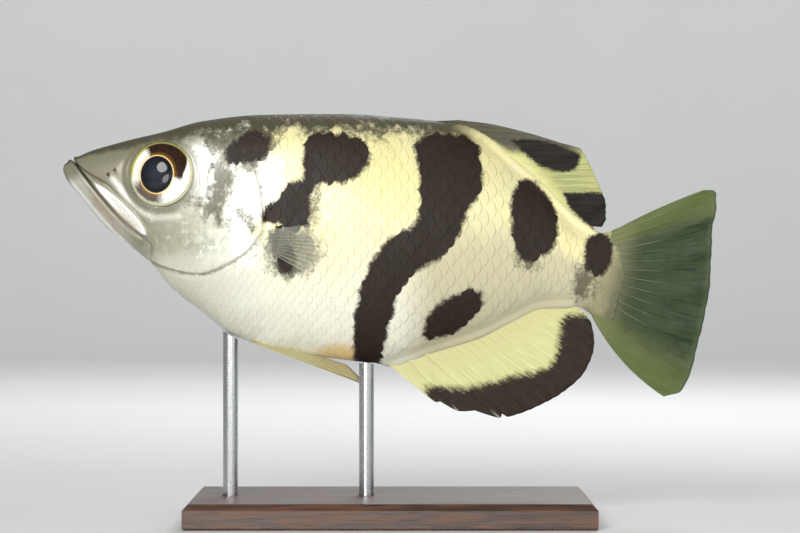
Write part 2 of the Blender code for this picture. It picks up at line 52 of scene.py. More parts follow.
# The body along X: heights of its back and belly, half its width, the height of its widest line, and how square
# its section is above and below that line (2 is an ellipse).
BACK = ((-65.4, 70.1), (-65.1, 70.9), (-64.4, 71.5), (-62.7, 72.5), (-59.5, 73.9), (-55.0, 75.2), (-45.6, 77.7),
        (-37.3, 80.0), (-26.1, 81.2), (-10.0, 81.4), (1.9, 80.7), (9.9, 79.9), (14.9, 78.3), (19.9, 75.2),
        (24.9, 70.9), (30.1, 66.4), (33.9, 62.6), (37.5, 59.4), (41.5, 57.6), (48.0, 59.6))
BELLY = ((-65.4, 70.1), (-65.15, 69.1), (-64.1, 67.2), (-61.9, 64.7), (-56.6, 58.3), (-51.0, 54.0),
         (-48.3, 51.6), (-44.0, 46.4), (-37.7, 41.4), (-31.6, 36.8), (-25.2, 34.6), (-12.1, 32.2),
         (-1.1, 31.2), (2.9, 32.2), (7.9, 34.0), (17.5, 37.0), (23.9, 40.2), (30.3, 43.0), (36.5, 43.2),
         (39.9, 41.0), (48.0, 34.0))
HALF_WIDTH = ((-65.4, 0.0), (-64.9, 1.2), (-64.1, 2.0), (-62.7, 3.0), (-60.1, 4.3), (-56.1, 5.7), (-52.1, 6.8),
              (-45.7, 8.0), (-38.1, 9.2), (-30.1, 10.0), (-20.1, 10.3), (-10.1, 10.0), (1.9, 8.9), (11.9, 7.4),
              (21.9, 5.6), (31.9, 3.7), (38.0, 2.5), (41.9, 1.7), (45.0, 0.9), (48.0, 0.45))
WIDEST = ((-65.4, 70.0), (-60.0, 68.6), (-50.0, 65.5), (-30.0, 64.0), (0.0, 61.0), (20.0, 56.0), (36.0, 51.5),
          (48.0, 49.0))
UPPER_ROUNDING = ((-65.4, 2.0), (-58.0, 2.6), (-30.0, 2.6), (8.0, 2.0), (20.0, 1.8), (48.0, 2.2))
LOWER_ROUNDING = ((-65.4, 2.0), (-50.0, 2.0), (-30.0, 2.1), (0.0, 2.0), (15.0, 1.8), (48.0, 2.2))
TAIL_LEAN = 0.2625        # how far the tail fin's base leans back for each millimetre of height
TAIL_MIDDLE = 50.0        # height about which it leans
LEAN_FROM, LEAN_FULL = 15.0, 42.0
TAIL_END = 47.2           # where the skin ends, under the tail fin
# Lines on the head, seen from the side.
MOUTH = ((-66.5, 74.6), (-63.4, 72.0), (-60.8, 68.8), (-57.4, 64.7), (-54.4, 61.2), (-51.4, 58.1),
         (-48.4, 55.8))
JAW_END = ((-48.4, 55.8), (-47.3, 54.3), (-47.6, 52.4), (-49.2, 50.4))
UPPER_LIP = ((-63.3, 71.8), (-61.2, 70.2), (-59.4, 68.9), (-57.8, 68.0), (-56.2, 67.0), (-54.4, 65.4))
MAXILLA = ((-60.2, 68.6), (-58.6, 67.1), (-55.9, 64.7), (-53.0, 61.9), (-50.3, 59.2), (-48.4, 57.0))
GILL_EDGE = ((-32.4, 84.0), (-31.1, 80.8), (-28.3, 74.0), (-25.6, 66.0), (-24.9, 59.5), (-27.1, 54.6),
             (-32.5, 50.8), (-38.0, 49.1), (-43.9, 50.2), (-48.0, 52.0), (-52.0, 54.6))
CHEEK_EDGE = ((-30.0, 73.6), (-34.3, 72.2), (-36.6, 68.0), (-36.5, 62.0), (-36.9, 56.5), (-38.9, 51.6),
              (-40.9, 46.0))
UNDER_EYE = ((-54.9, 68.0), (-53.2, 65.8), (-51.4, 63.6), (-49.0, 61.4), (-45.6, 60.2), (-41.6, 60.6))
EYE_PLACE = (-45.2, 69.0)
EYE_RADIUS = 6.6
NOSTRILS = ((-55.9, 68.9, 0.28), (-54.6, 69.8, 0.22))      # X, Z and radius
FIN_LOBES = ((-24.0, 56.0, 2.0, 2.9, 0.75), (-24.0, 35.2, 2.4, 1.6, 0.55))      # X, Z, half sizes and rise
GILL_OPEN_TOP, GILL_OPEN_FOOT = 72.6, 46.5
# Ridges, and grooves where the rise is below zero: place beside their line, half width and rise.
LIP_ROLL, JAW_SWELL, MOUTH_CUT = (0.62, 0.42, 0.30), (2.1, 1.2, 0.16), (0.0, 0.15, -1.1)
LIP_GROOVE, JAW_END_GROOVE, PLATE_GROOVE = (0.0, 0.16, -0.34), (0.0, 0.22, -0.35), (0.34, 0.26, -0.10)
SOCKET_EDGE, SOCKET_GROOVE, UNDER_EYE_RIDGE = (6.85, 0.38, 0.26), (7.9, 0.5, -0.10), (9.3, 0.8, 0.05)
CHEEK_FOLD, CHEEK_GROOVE, GILL_GROOVE = (0.5, 0.9, 0.04), (-0.4, 0.7, -0.05), (-0.20, 0.24, -0.55)
DORSAL_FOLD, ANAL_FOLD = (0.0, 1.0, 1.35), (0.0, 1.0, 1.25)
PLATE_RISE, SOCKET_DEPTH, NOSTRIL_DEPTH, NOSTRIL_RIM = 0.38, 3.0, 0.75, 0.05
COAT_DEPTH = 0.24         # room left for the scales
RING, FINE_RING = 120, 720        # steps from the back to the belly on one side, of the mesh and of its outline


def along(points, x, column=1):
    """Smooth value at x of a table of points, which never overshoots them."""
    table = np.asarray(points, float)
    at, value = table[:, 0], table[:, column]
    slope = np.diff(value) / np.diff(at)
    total = slope[:-1] + slope[1:]
    turning = slope[:-1] * slope[1:] <= 0
    inner = np.where(turning, 0.0, 2 * slope[:-1] * slope[1:] / np.where(turning, 1.0, total))
    knot = np.concatenate([slope[:1], inner, slope[-1:]])
    x = np.clip(x, at[0], at[-1])
    i = np.clip(np.searchsorted(at, x, "right") - 1, 0, len(at) - 2)
    span = at[i + 1] - at[i]
    t = (x - at[i]) / span
    return ((1 + 2 * t) * (1 - t) ** 2 * value[i] + t * (1 - t) ** 2 * span * knot[i]
            + t * t * (3 - 2 * t) * value[i + 1] + t * t * (t - 1) * span * knot[i + 1])


def ease(value, start, end):
    """0 before start, 1 after end, smooth between."""
    t = np.clip((value - start) / (end - start), 0.0, 1.0)
    return t * t * (3 - 2 * t)


def drawn(points, steps=6):
    """A smooth line through a few points."""
    points = np.asarray(points, float)
    at = np.arange(len(points))
    fine = np.linspace(0, len(points) - 1, (len(points) - 1) * steps + 1)
    return np.column_stack([along(np.column_stack([at, points[:, c]]), fine) for c in range(points.shape[1])])


def beside(line, x, z):
    """Distance from a line, above zero on the right of its run, and the share of the line passed, 0 to 1."""
    best = np.full(np.shape(x), 1e9)
    side = np.ones(np.shape(x))
    share = np.zeros(np.shape(x))
    for number in range(len(line) - 1):
        (ax, az), (bx, bz) = line[number], line[number + 1]
        dx, dz = bx - ax, bz - az
        t = np.clip(((x - ax) * dx + (z - az) * dz) / (dx * dx + dz * dz), 0, 1)
        away = np.hypot(x - ax - t * dx, z - az - t * dz)
        near = away < best
        best = np.where(near, away, best)
        side = np.where(near, np.where((x - ax) * dz - (z - az) * dx > 0, 1.0, -1.0), side)
        share = np.where(near, (number + t) / (len(line) - 1), share)
    return best * side, share


def bump(distance, width):
    """1 at distance 0, and soft to 0 past the width on both sides."""
    return np.exp(-(distance / width) ** 2)


def swell(distance, form):
    """A ridge, or a sunken line where the rise is below zero, at a distance from its line."""
    at, half_width, tall = form
    return tall * bump(distance - at, half_width)


def gill_opening(z):
    """How open the gill is at a height: it closes softly at its top and under the throat."""
    return ease(GILL_OPEN_TOP - z, 0.0, 7.0) * ease(z, GILL_OPEN_FOOT, GILL_OPEN_FOOT + 3.0)


def plate_half(share):
    """Half width of the upper jaw's bony plate, a leaf with a round end, by the share of its length."""
    return 0.30 + 0.90 * np.sin(np.pi * np.clip(share, 0.0, 1.0) ** 1.5) ** 0.7


def relief(x, z, back_way, belly_way):
    """Height of the skin's own forms above the smooth body, at places seen from the side."""
    rise = -COAT_DEPTH * ease(x, -53.0, -42.0)
    # mouth: a cut between two lips, and behind it the jaw's bony plate
    gap, share = beside(drawn(MOUTH), x, z)
    corner = 1 - ease(share, 0.93, 1.0)
    upper, lower = ease(-gap, -0.05, 0.1), ease(gap, -0.05, 0.1)
    rise += swell(np.abs(gap), LIP_ROLL) * corner
    rise += swell(gap, JAW_SWELL) * lower * corner
    plate, plate_share = beside(drawn(MAXILLA), x, z)
    wide = plate_half(plate_share)
    plate_top = 1 - ease(np.abs(plate), wide - 0.40, wide + 0.22)
    rise += PLATE_RISE * plate_top * upper * ease(x, -60.0, -57.5)
    rise += swell(np.abs(plate) - wide, PLATE_GROOVE) * upper * ease(x, -59.5, -57.0)
    lip, lip_share = beside(drawn(UPPER_LIP), x, z)
    rise += swell(lip, LIP_GROOVE) * (1 - ease(lip_share, 0.8, 1.0))
    rise += swell(gap, MOUTH_CUT) * corner * (1 - 0.6 * ease(share, 0.45, 0.7))
    rise += swell(beside(drawn(JAW_END), x, z)[0], JAW_END_GROOVE) * ease(z, 52.0, 54.5)
    # eye socket: a pit for the eyeball and the raised edge around it
    reach = np.hypot(x - EYE_PLACE[0], z - EYE_PLACE[1])
    rise -= SOCKET_DEPTH * (1 - ease(reach, 5.5, 6.55))
    rise += swell(reach, SOCKET_EDGE) + swell(reach, SOCKET_GROOVE)
    rise += swell(reach, UNDER_EYE_RIDGE) * ease(EYE_PLACE[1] - z, 0.0, 4.0) * (1 - ease(x, -42.0, -38.0))
    for at_x, at_z, wide in NOSTRILS:
        hole = np.hypot(x - at_x, z - at_z) - wide
        rise += NOSTRIL_RIM * bump(hole - 0.25, 0.22) - NOSTRIL_DEPTH * (1 - ease(hole, wide * -0.45, 0.15))
    # gill cover: its rear edge stands over the flank, with the opening behind it
    edge, share = beside(drawn(GILL_EDGE), x, z)
    open_part = gill_opening(z) * (1 - ease(share, 0.90, 1.0))
    cover = ease(edge, -0.10, 0.16)
    cover_rise = cover * (0.10 + 0.36 * np.exp(-np.clip(edge, 0, 9) / 2.4)) + swell(edge, GILL_GROOVE)
    rise += open_part * (0.55 + 0.45 * (1 - ease(z, 53.0, 60.0))) * cover_rise
    rise -= open_part * (1 - cover) * 0.16 * np.exp(-np.clip(-edge, 0, 9) / 1.6)
    fold = beside(drawn(CHEEK_EDGE), x, z)[0]
    rise += swell(fold, CHEEK_FOLD) + swell(fold, CHEEK_GROOVE)
    # lobes that the paired fins grow from
    for at_x, at_z, half_long, half_tall, tall in FIN_LOBES:
        rise += tall * np.exp(-((x - at_x) / half_long) ** 2 - ((z - at_z) / half_tall) ** 2)
    # low folds of scaly skin that the dorsal and anal fins stand in
    rise += swell(back_way, DORSAL_FOLD) * ease(x, 8.0, 19.0) * (1 - ease(x, 39.0, 42.5))
    rise += swell(belly_way, ANAL_FOLD) * ease(x, -4.0, 2.0) * (1 - ease(x, 35.0, 39.5))
    return rise


def rings(stations, count):
    """Left half of the body: for each station, count + 1 even places from the back to the belly.

    A ring leans with the tail's base, so its heights are found in a few rounds. Returns the places, the outward
    normals and the way round from the back's middle."""
    s = np.asarray(stations, float)[:, None]
    lean = TAIL_LEAN * ease(s, LEAN_FROM, LEAN_FULL)
    top, low, wide = along(BACK, s), along(BELLY, s), along(WIDEST, s)
    for _ in range(5):
        top = along(BACK, s + lean * (top - TAIL_MIDDLE))
        low = along(BELLY, s + lean * (low - TAIL_MIDDLE))
        wide = along(WIDEST, s + lean * (wide - TAIL_MIDDLE))
    turn = np.linspace(0, math.pi, FINE_RING + 1)[None, :]
    upper = turn <= math.pi / 2
    power = np.where(upper, along(UPPER_ROUNDING, s), along(LOWER_ROUNDING, s))
    share = np.abs(np.cos(turn)) ** (2 / power)
    z = wide + np.where(upper, top - wide, low - wide) * share
    x = s + lean * (z - TAIL_MIDDLE)
    y = -along(HALF_WIDTH, x) * np.abs(np.sin(turn)) ** (2 / power)
    y[:, (0, -1)] = 0.0
    fine = np.stack([x, y, z], axis=2)
    step = np.linalg.norm(np.diff(fine, axis=1), axis=2)
    way = np.concatenate([np.zeros((len(s), 1)), np.cumsum(step, axis=1)], axis=1)
    smooth = np.empty((len(s), count + 1, 3))
    even = np.linspace(0, 1, count + 1)[None, :] * way[:, -1:]
    for row in range(len(s)):
        for axis in range(3):
            smooth[row, :, axis] = np.interp(even[row], way[row], fine[row, :, axis])
    out = outward(smooth)
    rise = relief(smooth[..., 0], smooth[..., 2], even, even[:, -1:] - even)
    places = smooth + out * rise[..., None]
    places[:, (0, -1), 1] = 0.0
    return places, outward(places), even


OTHER_SIDE = np.array([1.0, -1.0, 1.0])


def outward(places):
    """Normals of a left half, which lie in the middle plane at the back and the belly."""
    wide = np.concatenate([places[:, 1:2] * OTHER_SIDE, places, places[:, -2:-1] * OTHER_SIDE], axis=1)
    around = wide[:, 2:] - wide[:, :-2]
    forward = np.gradient(places, axis=0)
    normal = np.cross(forward, around)
    length = np.linalg.norm(normal, axis=2, keepdims=True)
    normal = normal / np.maximum(length, 1e-9)
    middle = len(places) // 2
    if normal[middle, places.shape[1] // 2, 1] > 0:
        normal = -normal
    return normal


def make_mesh(name, places, faces, data=None):
    """A smooth-shaded mesh object from places in millimetres, with a float attribute for each entry of data."""
    mesh = bpy.data.meshes.new(name)
    mesh.from_pydata((np.asarray(places) * MM).tolist(), [], faces)
    mesh.shade_smooth()
    for label, values in (data or {}).items():
        values = np.asarray(values, float)
        kind, field = ("FLOAT", "value") if values.ndim == 1 else ("FLOAT_VECTOR", "vector")
        mesh.attributes.new(label, kind, "POINT").data.foreach_set(field, values.ravel())
    made = bpy.data.objects.new(name, mesh)
    bpy.context.scene.collection.objects.link(made)
    return made


def unwrap(made, per_corner):
    """Gives a mesh the flat map, named OFBake, that its colours can be laid out on."""
    made.data.uv_layers.new(name="OFBake").data.foreach_set("uv", np.asarray(per_corner, float).ravel())


# The markings, as outlines seen from the side. They are the same on both flanks.
DEEP_MARKS = {
    "nape": ((-33.0, 73.2), (-30.5, 75.8), (-27.2, 77.5), (-23.9, 76.2), (-24.4, 73.4), (-27.6, 71.0),
             (-31.3, 70.8)),
    "shoulder": ((-16.5, 76.4), (-13.3, 77.4), (-8.5, 76.8), (-4.9, 75.0), (-4.3, 72.0), (-6.0, 69.0),
                 (-8.9, 67.4), (-12.6, 66.8), (-15.2, 67.0), (-15.9, 64.4), (-15.9, 60.6), (-17.2, 58.0),
                 (-20.0, 57.4), (-22.2, 59.2), (-25.5, 59.3), (-25.2, 61.4), (-22.3, 64.2), (-20.2, 67.2),
                 (-17.7, 67.9), (-17.5, 72.0)),
    "behind gill": ((-23.4, 57.2), (-20.9, 57.6), (-19.9, 54.6), (-18.6, 52.2), (-19.6, 49.6), (-21.5, 49.0),
                    (-22.4, 51.6), (-23.4, 54.2)),
    "long bar": ((4.0, 74.6), (5.0, 71.0), (5.5, 66.0), (5.4, 61.0), (3.2, 58.1), (-0.2, 56.6), (-3.0, 53.4),
                 (-5.2, 49.2), (-6.7, 43.8), (-7.4, 38.0), (-7.7, 30.8), (-2.5, 30.8), (-1.2, 36.6),
                 (0.7, 43.0), (2.4, 47.2), (6.6, 50.6), (11.0, 53.7), (13.7, 58.4), (15.8, 62.6), (17.9, 66.4),
                 (18.0, 70.4), (17.0, 74.8), (14.1, 77.2), (8.6, 77.2), (5.4, 75.8)),
    "flank oval": ((25.1, 67.6), (27.6, 68.2), (31.0, 65.4), (33.2, 61.0), (33.2, 56.8), (30.9, 53.0),
                   (27.3, 51.7), (24.7, 53.6), (23.6, 58.6), (23.5, 63.8)),
    "low oval": ((13.5, 45.8), (17.3, 46.4), (18.0, 43.4), (14.9, 39.4), (10.1, 36.6), (5.9, 36.0), (6.7, 39.6),
                 (10.1, 43.6)),
    "stem": ((39.5, 56.8), (42.5, 57.4), (44.4, 54.6), (43.4, 50.4), (40.9, 48.6), (38.6, 50.8), (38.3, 54.4)),
    "dorsal front": ((24.4, 75.8), (28.4, 76.1), (35.1, 74.4), (37.9, 72.9), (37.2, 70.4), (34.4, 69.6),
                     (30.3, 70.7), (27.2, 72.8)),
    "dorsal rear": ((34.5, 65.5), (38.4, 65.5), (43.4, 65.3), (44.2, 61.6), (43.2, 58.2), (41.0, 58.2),
                    (38.3, 60.1), (35.7, 62.8)),
}
SOFT_MARKS = {
    "nape edge": ((-37.3, 75.6), (-33.0, 78.8), (-26.4, 79.0), (-22.3, 76.0), (-24.0, 71.2), (-28.1, 69.0),
                  (-33.6, 70.4)),
    "nape trail": ((-34.2, 72.0), (-31.0, 70.0), (-30.2, 67.8), (-31.8, 64.6), (-33.2, 60.8), (-36.2, 59.8),
                   (-37.2, 62.4), (-35.7, 65.8), (-35.4, 70.2)),
    "shoulder link": ((-18.1, 69.2), (-14.6, 68.6), (-13.6, 66.0), (-14.6, 62.0), (-15.4, 58.8), (-16.6, 58.4),
                      (-16.9, 64.0)),
    "behind gill": ((-24.5, 56.8), (-20.5, 58.0), (-14.9, 57.6), (-13.7, 54.2), (-15.3, 50.2), (-20.1, 48.2),
                    (-24.1, 50.4)),
    "cheek": ((-38.6, 64.6), (-36.4, 63.6), (-33.6, 61.4), (-31.2, 59.2), (-32.0, 58.4), (-34.6, 59.6),
              (-37.4, 61.8), (-39.2, 63.6)),
    "cover": ((-30.2, 63.0), (-28.4, 61.6), (-26.4, 58.2), (-27.2, 57.4), (-29.4, 59.0), (-31.0, 61.6)),
    "flank oval foot": ((24.7, 54.0), (29.9, 53.6), (29.3, 50.8), (26.7, 50.4), (24.7, 51.6)),
    "stem trail": ((37.2, 51.2), (40.8, 49.6), (40.8, 46.6), (39.0, 43.8), (36.9, 43.8), (36.3, 47.4)),
}


def inside(outline, x, z):
    """Distance in from a closed outline, below zero outside it."""
    line = drawn(np.vstack([outline, outline[:1]]), 4)
    odd = np.zeros(np.shape(x), bool)
    for (ax, az), (bx, bz) in zip(line[:-1], line[1:]):
        if az != bz:
            odd ^= ((az > z) != (bz > z)) & (x < ax + (z - az) / (bz - az) * (bx - ax))
    return np.abs(beside(line, x, z)[0]) * np.where(odd, 1.0, -1.0)


MARK_REACH = 4.0          # how far in and out of a marking the distance to its outline is told


def marks(outlines, x, z):
    """Distance in from the nearest of several outlines, held between -MARK_REACH and MARK_REACH."""
    depth = np.full(np.shape(x), -MARK_REACH)
    for outline in outlines.values():
        depth = np.maximum(depth, inside(np.asarray(outline, float), x, z))
    return np.clip(depth, -MARK_REACH, MARK_REACH)


def height_share(x, z):
    low, top = along(BELLY, x), along(BACK, x)
    return np.clip((z - low) / np.maximum(top - low, 1.0), 0.0, 1.0)


# Bright patches: X, Z, half sizes, lean of X by Z and of Z by X, squareness and strength.
BRIGHT_PATCHES = {
    "behind eye": (-36.2, 69.8, 2.3, 5.2, 0.12, 0.0, 2, 1.0),
    "shoulder": (-26.6, 64.6, 4.6, 5.2, 0.0, 0.55, 4, 0.8),
    "breast": (-28.0, 54.4, 3.0, 3.0, 0.0, 0.0, 2, 0.6),
}


def head_tones(x, z):
    """Where the head is bright bone, rust brown, dark with painted shade in its creases and hollows, or dark
    along its top. The front of the pale strip under the eye is brighter, as a painted highlight.
    """
    gap, share = beside(drawn(MOUTH), x, z)
    plate, plate_share = beside(drawn(MAXILLA), x, z)
    half = plate_half(plate_share)
    bony = (1 - ease(np.abs(plate), half - 0.75, half + 0.20)) * ease(x, -59.5, -55.5) * (gap < 0.1)
    bright = bony * (1 - 0.7 * ease(plate, 0.1, 0.8))
    # A pale strip under the eye; its brighter front part is a painted highlight.
    under_eye = beside(drawn(UNDER_EYE), x, z)[0]
    bright = np.maximum(bright, (0.25 + 0.4 * (1 - ease(x, -54.0, -50.0))) * bump(under_eye, 0.6))
    for at_x, at_z, half_x, half_z, x_lean, z_lean, square, strength in BRIGHT_PATCHES.values():
        dx, dz = x - at_x, z - at_z
        spot = np.exp(-((dx + x_lean * dz) / half_x) ** square - ((dz - z_lean * dx) / half_z) ** square)
        bright = np.maximum(bright, strength * spot)
    jaw_edge = 0.26 * ease(gap, 0.3, 0.9) * (1 - ease(gap, 3.5, 6.0)) + 0.6 * bump(gap - 2.9, 0.35)
    bright = np.maximum(bright, jaw_edge * (1 - ease(x, -54.0, -49.0)))
    rust = 0.7 * bump(gap - 1.5, 0.8) * ease(x, -61.0, -58.0) * (1 - ease(x, -55.5, -52.5))
    rust = np.maximum(rust, 0.4 * bony * ease(plate, 0.0, 0.6))
    # Painted shade: dark lines in the mouth's cut, along the upper lip and the jaw's end, under the gill cover's
    # edge, round the eye socket and most below it, and in the nostrils.
    groove = bump(gap, 0.22) * (0.35 + 0.65 * (1 - ease(share, 0.30, 0.50))) * (1 - ease(share, 0.93, 1.0))
    lip, lip_share = beside(drawn(UPPER_LIP), x, z)
    groove = np.maximum(groove, 0.75 * bump(lip, 0.17) * (1 - ease(lip_share, 0.65, 1.0)))
    groove = np.maximum(groove, 0.35 * bump(beside(drawn(JAW_END), x, z)[0], 0.3) * ease(z, 51.5, 54.5))
    edge = beside(drawn(GILL_EDGE), x, z)[0]
    gill = (0.12 + 0.30 * (1 - ease(z, 50.0, 57.0))) * bump(edge + 0.2, 0.30) * gill_opening(z)
    groove = np.maximum(groove, gill)
    socket = np.hypot(x - EYE_PLACE[0], z - EYE_PLACE[1])
    under = ease(EYE_PLACE[1] - z, -2.0, 5.0)
    groove = np.maximum(groove, (0.25 + 0.45 * under) * bump(socket - 6.75, 0.24))
    groove = np.maximum(groove, 0.22 * under * bump(socket - 7.6, 0.7))
    for at_x, at_z, wide in NOSTRILS:
        groove = np.maximum(groove, 0.6 * (1 - ease(np.hypot(x - at_x, z - at_z), wide * 0.7, wide + 0.2)))
    brow = 1 - ease(along(BACK, x) - z, 1.0, 7.5)
    return {"bright": bright, "rust": rust, "groove": groove, "brow": brow}


SNOUT, CHEEK_END, COVER_END = -65.36, -45.0, -23.0
HEAD_RINGS, COVER_RINGS, BODY_RINGS = 150, 112, 122
stations = np.concatenate([
    SNOUT + (CHEEK_END - SNOUT) * np.linspace(0, 1, HEAD_RINGS, endpoint=False) ** 1.25,
    np.linspace(CHEEK_END, COVER_END, COVER_RINGS, endpoint=False),
    np.linspace(COVER_END, TAIL_END, BODY_RINGS)])
left, _, way = rings(stations, RING)
skin_places = np.concatenate([left, left[:, -2:0:-1] * OTHER_SIDE], axis=1)
rows, around = skin_places.shape[:2]
index = np.arange(rows * around).reshape(rows, around)
after = np.roll(index, -1, axis=1)
skin_faces = np.stack([index[:-1], after[:-1], after[1:], index[1:]], axis=2).reshape(-1, 4).tolist()
skin_faces = [index[0, ::-1].tolist()] + skin_faces + [index[-1].tolist()]
x, z = skin_places[..., 0].ravel(), skin_places[..., 2].ravel()
skin = make_mesh("skin", skin_places.reshape(-1, 3), skin_faces, {
    "deep": marks(DEEP_MARKS, x, z), "soft": marks(SOFT_MARKS, x, z), "high": height_share(x, z),
    **head_tones(x, z)})

MAP_SIZE, MAP_MARGIN = 150.0, 0.02        # millimetres of skin across the whole map, and its empty margin
middle_way = np.array([np.interp(-along(WIDEST, s), -row[:, 2], w) for s, row, w in zip(stations, left, way)])


def map_place(s, offset, right):
    """Place on the map: the left flank fills its lower half, the right flank its upper half."""
    across = (s - SNOUT) / MAP_SIZE + MAP_MARGIN + 0 * offset
    return np.stack([across, 0.25 + 0.5 * right + offset / MAP_SIZE * (1 - 2 * right)], axis=-1)


offsets = way - middle_way[:, None]
half_map = [map_place(stations[:, None], offsets, side) for side in (0, 1)]
ring_place = np.concatenate([np.arange(RING + 1), np.arange(RING - 1, 0, -1)])
corner_maps = []
for side in (0, 1):
    first = np.arange(RING) if side == 0 else np.arange(RING, 2 * RING)
    second = (first + 1) % around
    a, b = half_map[side][:, ring_place[first]], half_map[side][:, ring_place[second]]
    corner_maps.append(np.stack([a[:-1], b[:-1], b[1:], a[1:]], axis=2))
quad_maps = np.concatenate(corner_maps, axis=1).reshape(-1, 2)
caps = [np.tile(quad_maps[corner], (around, 1)) for corner in (0, -1)]
unwrap(skin, np.concatenate([caps[0], quad_maps, caps[1]]))


class Wire:
    """One socket of a material's nodes. Arithmetic on it adds Math nodes to that material."""

    def __init__(self, tree, socket=None):
        self.tree, self.socket = tree, socket

    def node(self, kind, settings=None, sockets=None, output=0):
        """Adds a node: its settings first, then the values or links of its sockets."""
        made = self.tree.nodes.new(kind)
        for name, value in (settings or {}).items():
            if name == "stops":
                ramp = made.color_ramp
                while len(ramp.elements) < len(value):
                    ramp.elements.new(1.0)
                for element, (place, colour) in zip(ramp.elements, value):
                    element.position, element.color = place, colour
            else:
                setattr(made, name, value)
        for name, value in (sockets or {}).items():
            if isinstance(value, Wire):
                self.tree.links.new(value.socket, made.inputs[name])
            else:
                made.inputs[name].default_value = value
        return Wire(self.tree, made.outputs[output])

    def math(self, operation, *values, clamp=False):
        settings = {"operation": operation, "use_clamp": clamp}
        return self.node("ShaderNodeMath", settings, dict(enumerate(values)))

    def __add__(self, other):
        return self.math("ADD", self, other)

    def __sub__(self, other):
        return self.math("SUBTRACT", self, other)

    def __rsub__(self, other):
        return self.math("SUBTRACT", other, self)

    def __mul__(self, other):
        return self.math("MULTIPLY", self, other)

    def __truediv__(self, other):
        return self.math("DIVIDE", self, other)

    def __pow__(self, other):
        return self.math("POWER", self, other)

    __radd__, __rmul__ = __add__, __mul__

    def __abs__(self):
        return self.math("ABSOLUTE", self)

    def sine(self):
        return self.math("SINE", self)

    def most(self, other):
        """The larger of two values."""
        return self.math("MAXIMUM", self, other)

    def held(self):
        """The same value, kept from 0 to 1."""
        return self.math("ADD", self, 0.0, clamp=True)

    def step(self, start, end):
        """0 at start, 1 at end, smooth between."""
        return self.node("ShaderNodeMapRange", {"interpolation_type": "SMOOTHSTEP"},
                         {"Value": self, "From Min": start, "From Max": end})

    def mix(self, below, above):
        """Colour below where this mask is 0 and above where it is 1."""
        return self.node("ShaderNodeMix", {"data_type": "RGBA"}, {0: self, 6: below, 7: above}, output=2)

    def data(self, label):
        """A float attribute of the mesh."""
        return self.node("ShaderNodeAttribute", {"attribute_name": label}, output=2)

    def place(self):
        """The place on the object itself, in metres."""
        return self.node("ShaderNodeTexCoord", output=3)

    def split(self):
        """The three numbers of a place or vector."""
        parts = self.node("ShaderNodeSeparateXYZ", sockets={0: self})
        return [Wire(self.tree, socket) for socket in parts.socket.node.outputs]

    def noise(self, size, detail=3.0, at=None):
        """Cloudy noise about 0, whose patches are size millimetres across."""
        cloud = self.node("ShaderNodeTexNoise", {"noise_dimensions": "3D"}, {
            "Vector": at or self.place(), "Scale": 1 / (size * MM), "Detail": detail, "Roughness": 0.55})
        return cloud - 0.5


def tone(red, green, blue):
    """A colour from screen values of 0 to 255."""
    share = [value / 255 for value in (red, green, blue)]
    return tuple(s / 12.92 if s <= 0.04045 else ((s + 0.055) / 1.055) ** 2.4 for s in share) + (1.0,)


def finish_of(name, **constants):
    """A new material: its first wire, and a function that links values to its shader's sockets."""
    material = bpy.data.materials.new(name)
    material.use_nodes = True
    tree = material.node_tree
    shader = tree.nodes["Principled BSDF"]
    for socket, value in constants.items():
        shader.inputs[socket.replace("_", " ")].default_value = value

    def give(**wires):
        for socket, wire in wires.items():
            tree.links.new(wire.socket, shader.inputs[socket.replace("_", " ")])

    return material, Wire(tree), give


SILVER, PALE_FLANK, WARM_FLANK = tone(230, 229, 211), tone(223, 218, 184), tone(225, 216, 152)
GREY_FLECK, GREEN_GLINT, LOW_TAN = tone(190, 190, 156), tone(150, 172, 140), tone(182, 175, 140)
BREAST, THROAT, VENT_ORANGE = tone(222, 223, 209), tone(170, 167, 148), tone(216, 176, 88)
FACE_SHADE, FACE_LIGHT, SNOUT_GREY = tone(126, 126, 104), tone(172, 171, 150), tone(122, 118, 98)
CHEEK_GREY, BONE, BROW, RUST = tone(118, 124, 102), tone(238, 238, 230), tone(112, 110, 90), tone(150, 116, 84)
STEM, STEM_END, OLIVE, HAZE = tone(134, 129, 96), tone(88, 90, 64), tone(74, 70, 53), tone(70, 67, 50)
# The last of these is the colour of the painted shade in the head's creases and hollows.
DARK, DARK_BROWN, CREASE_SHADE_TONE = tone(27, 19, 13), tone(44, 33, 24), tone(28, 20, 16)
VENT_PLACE = (-10.0, 33.0)


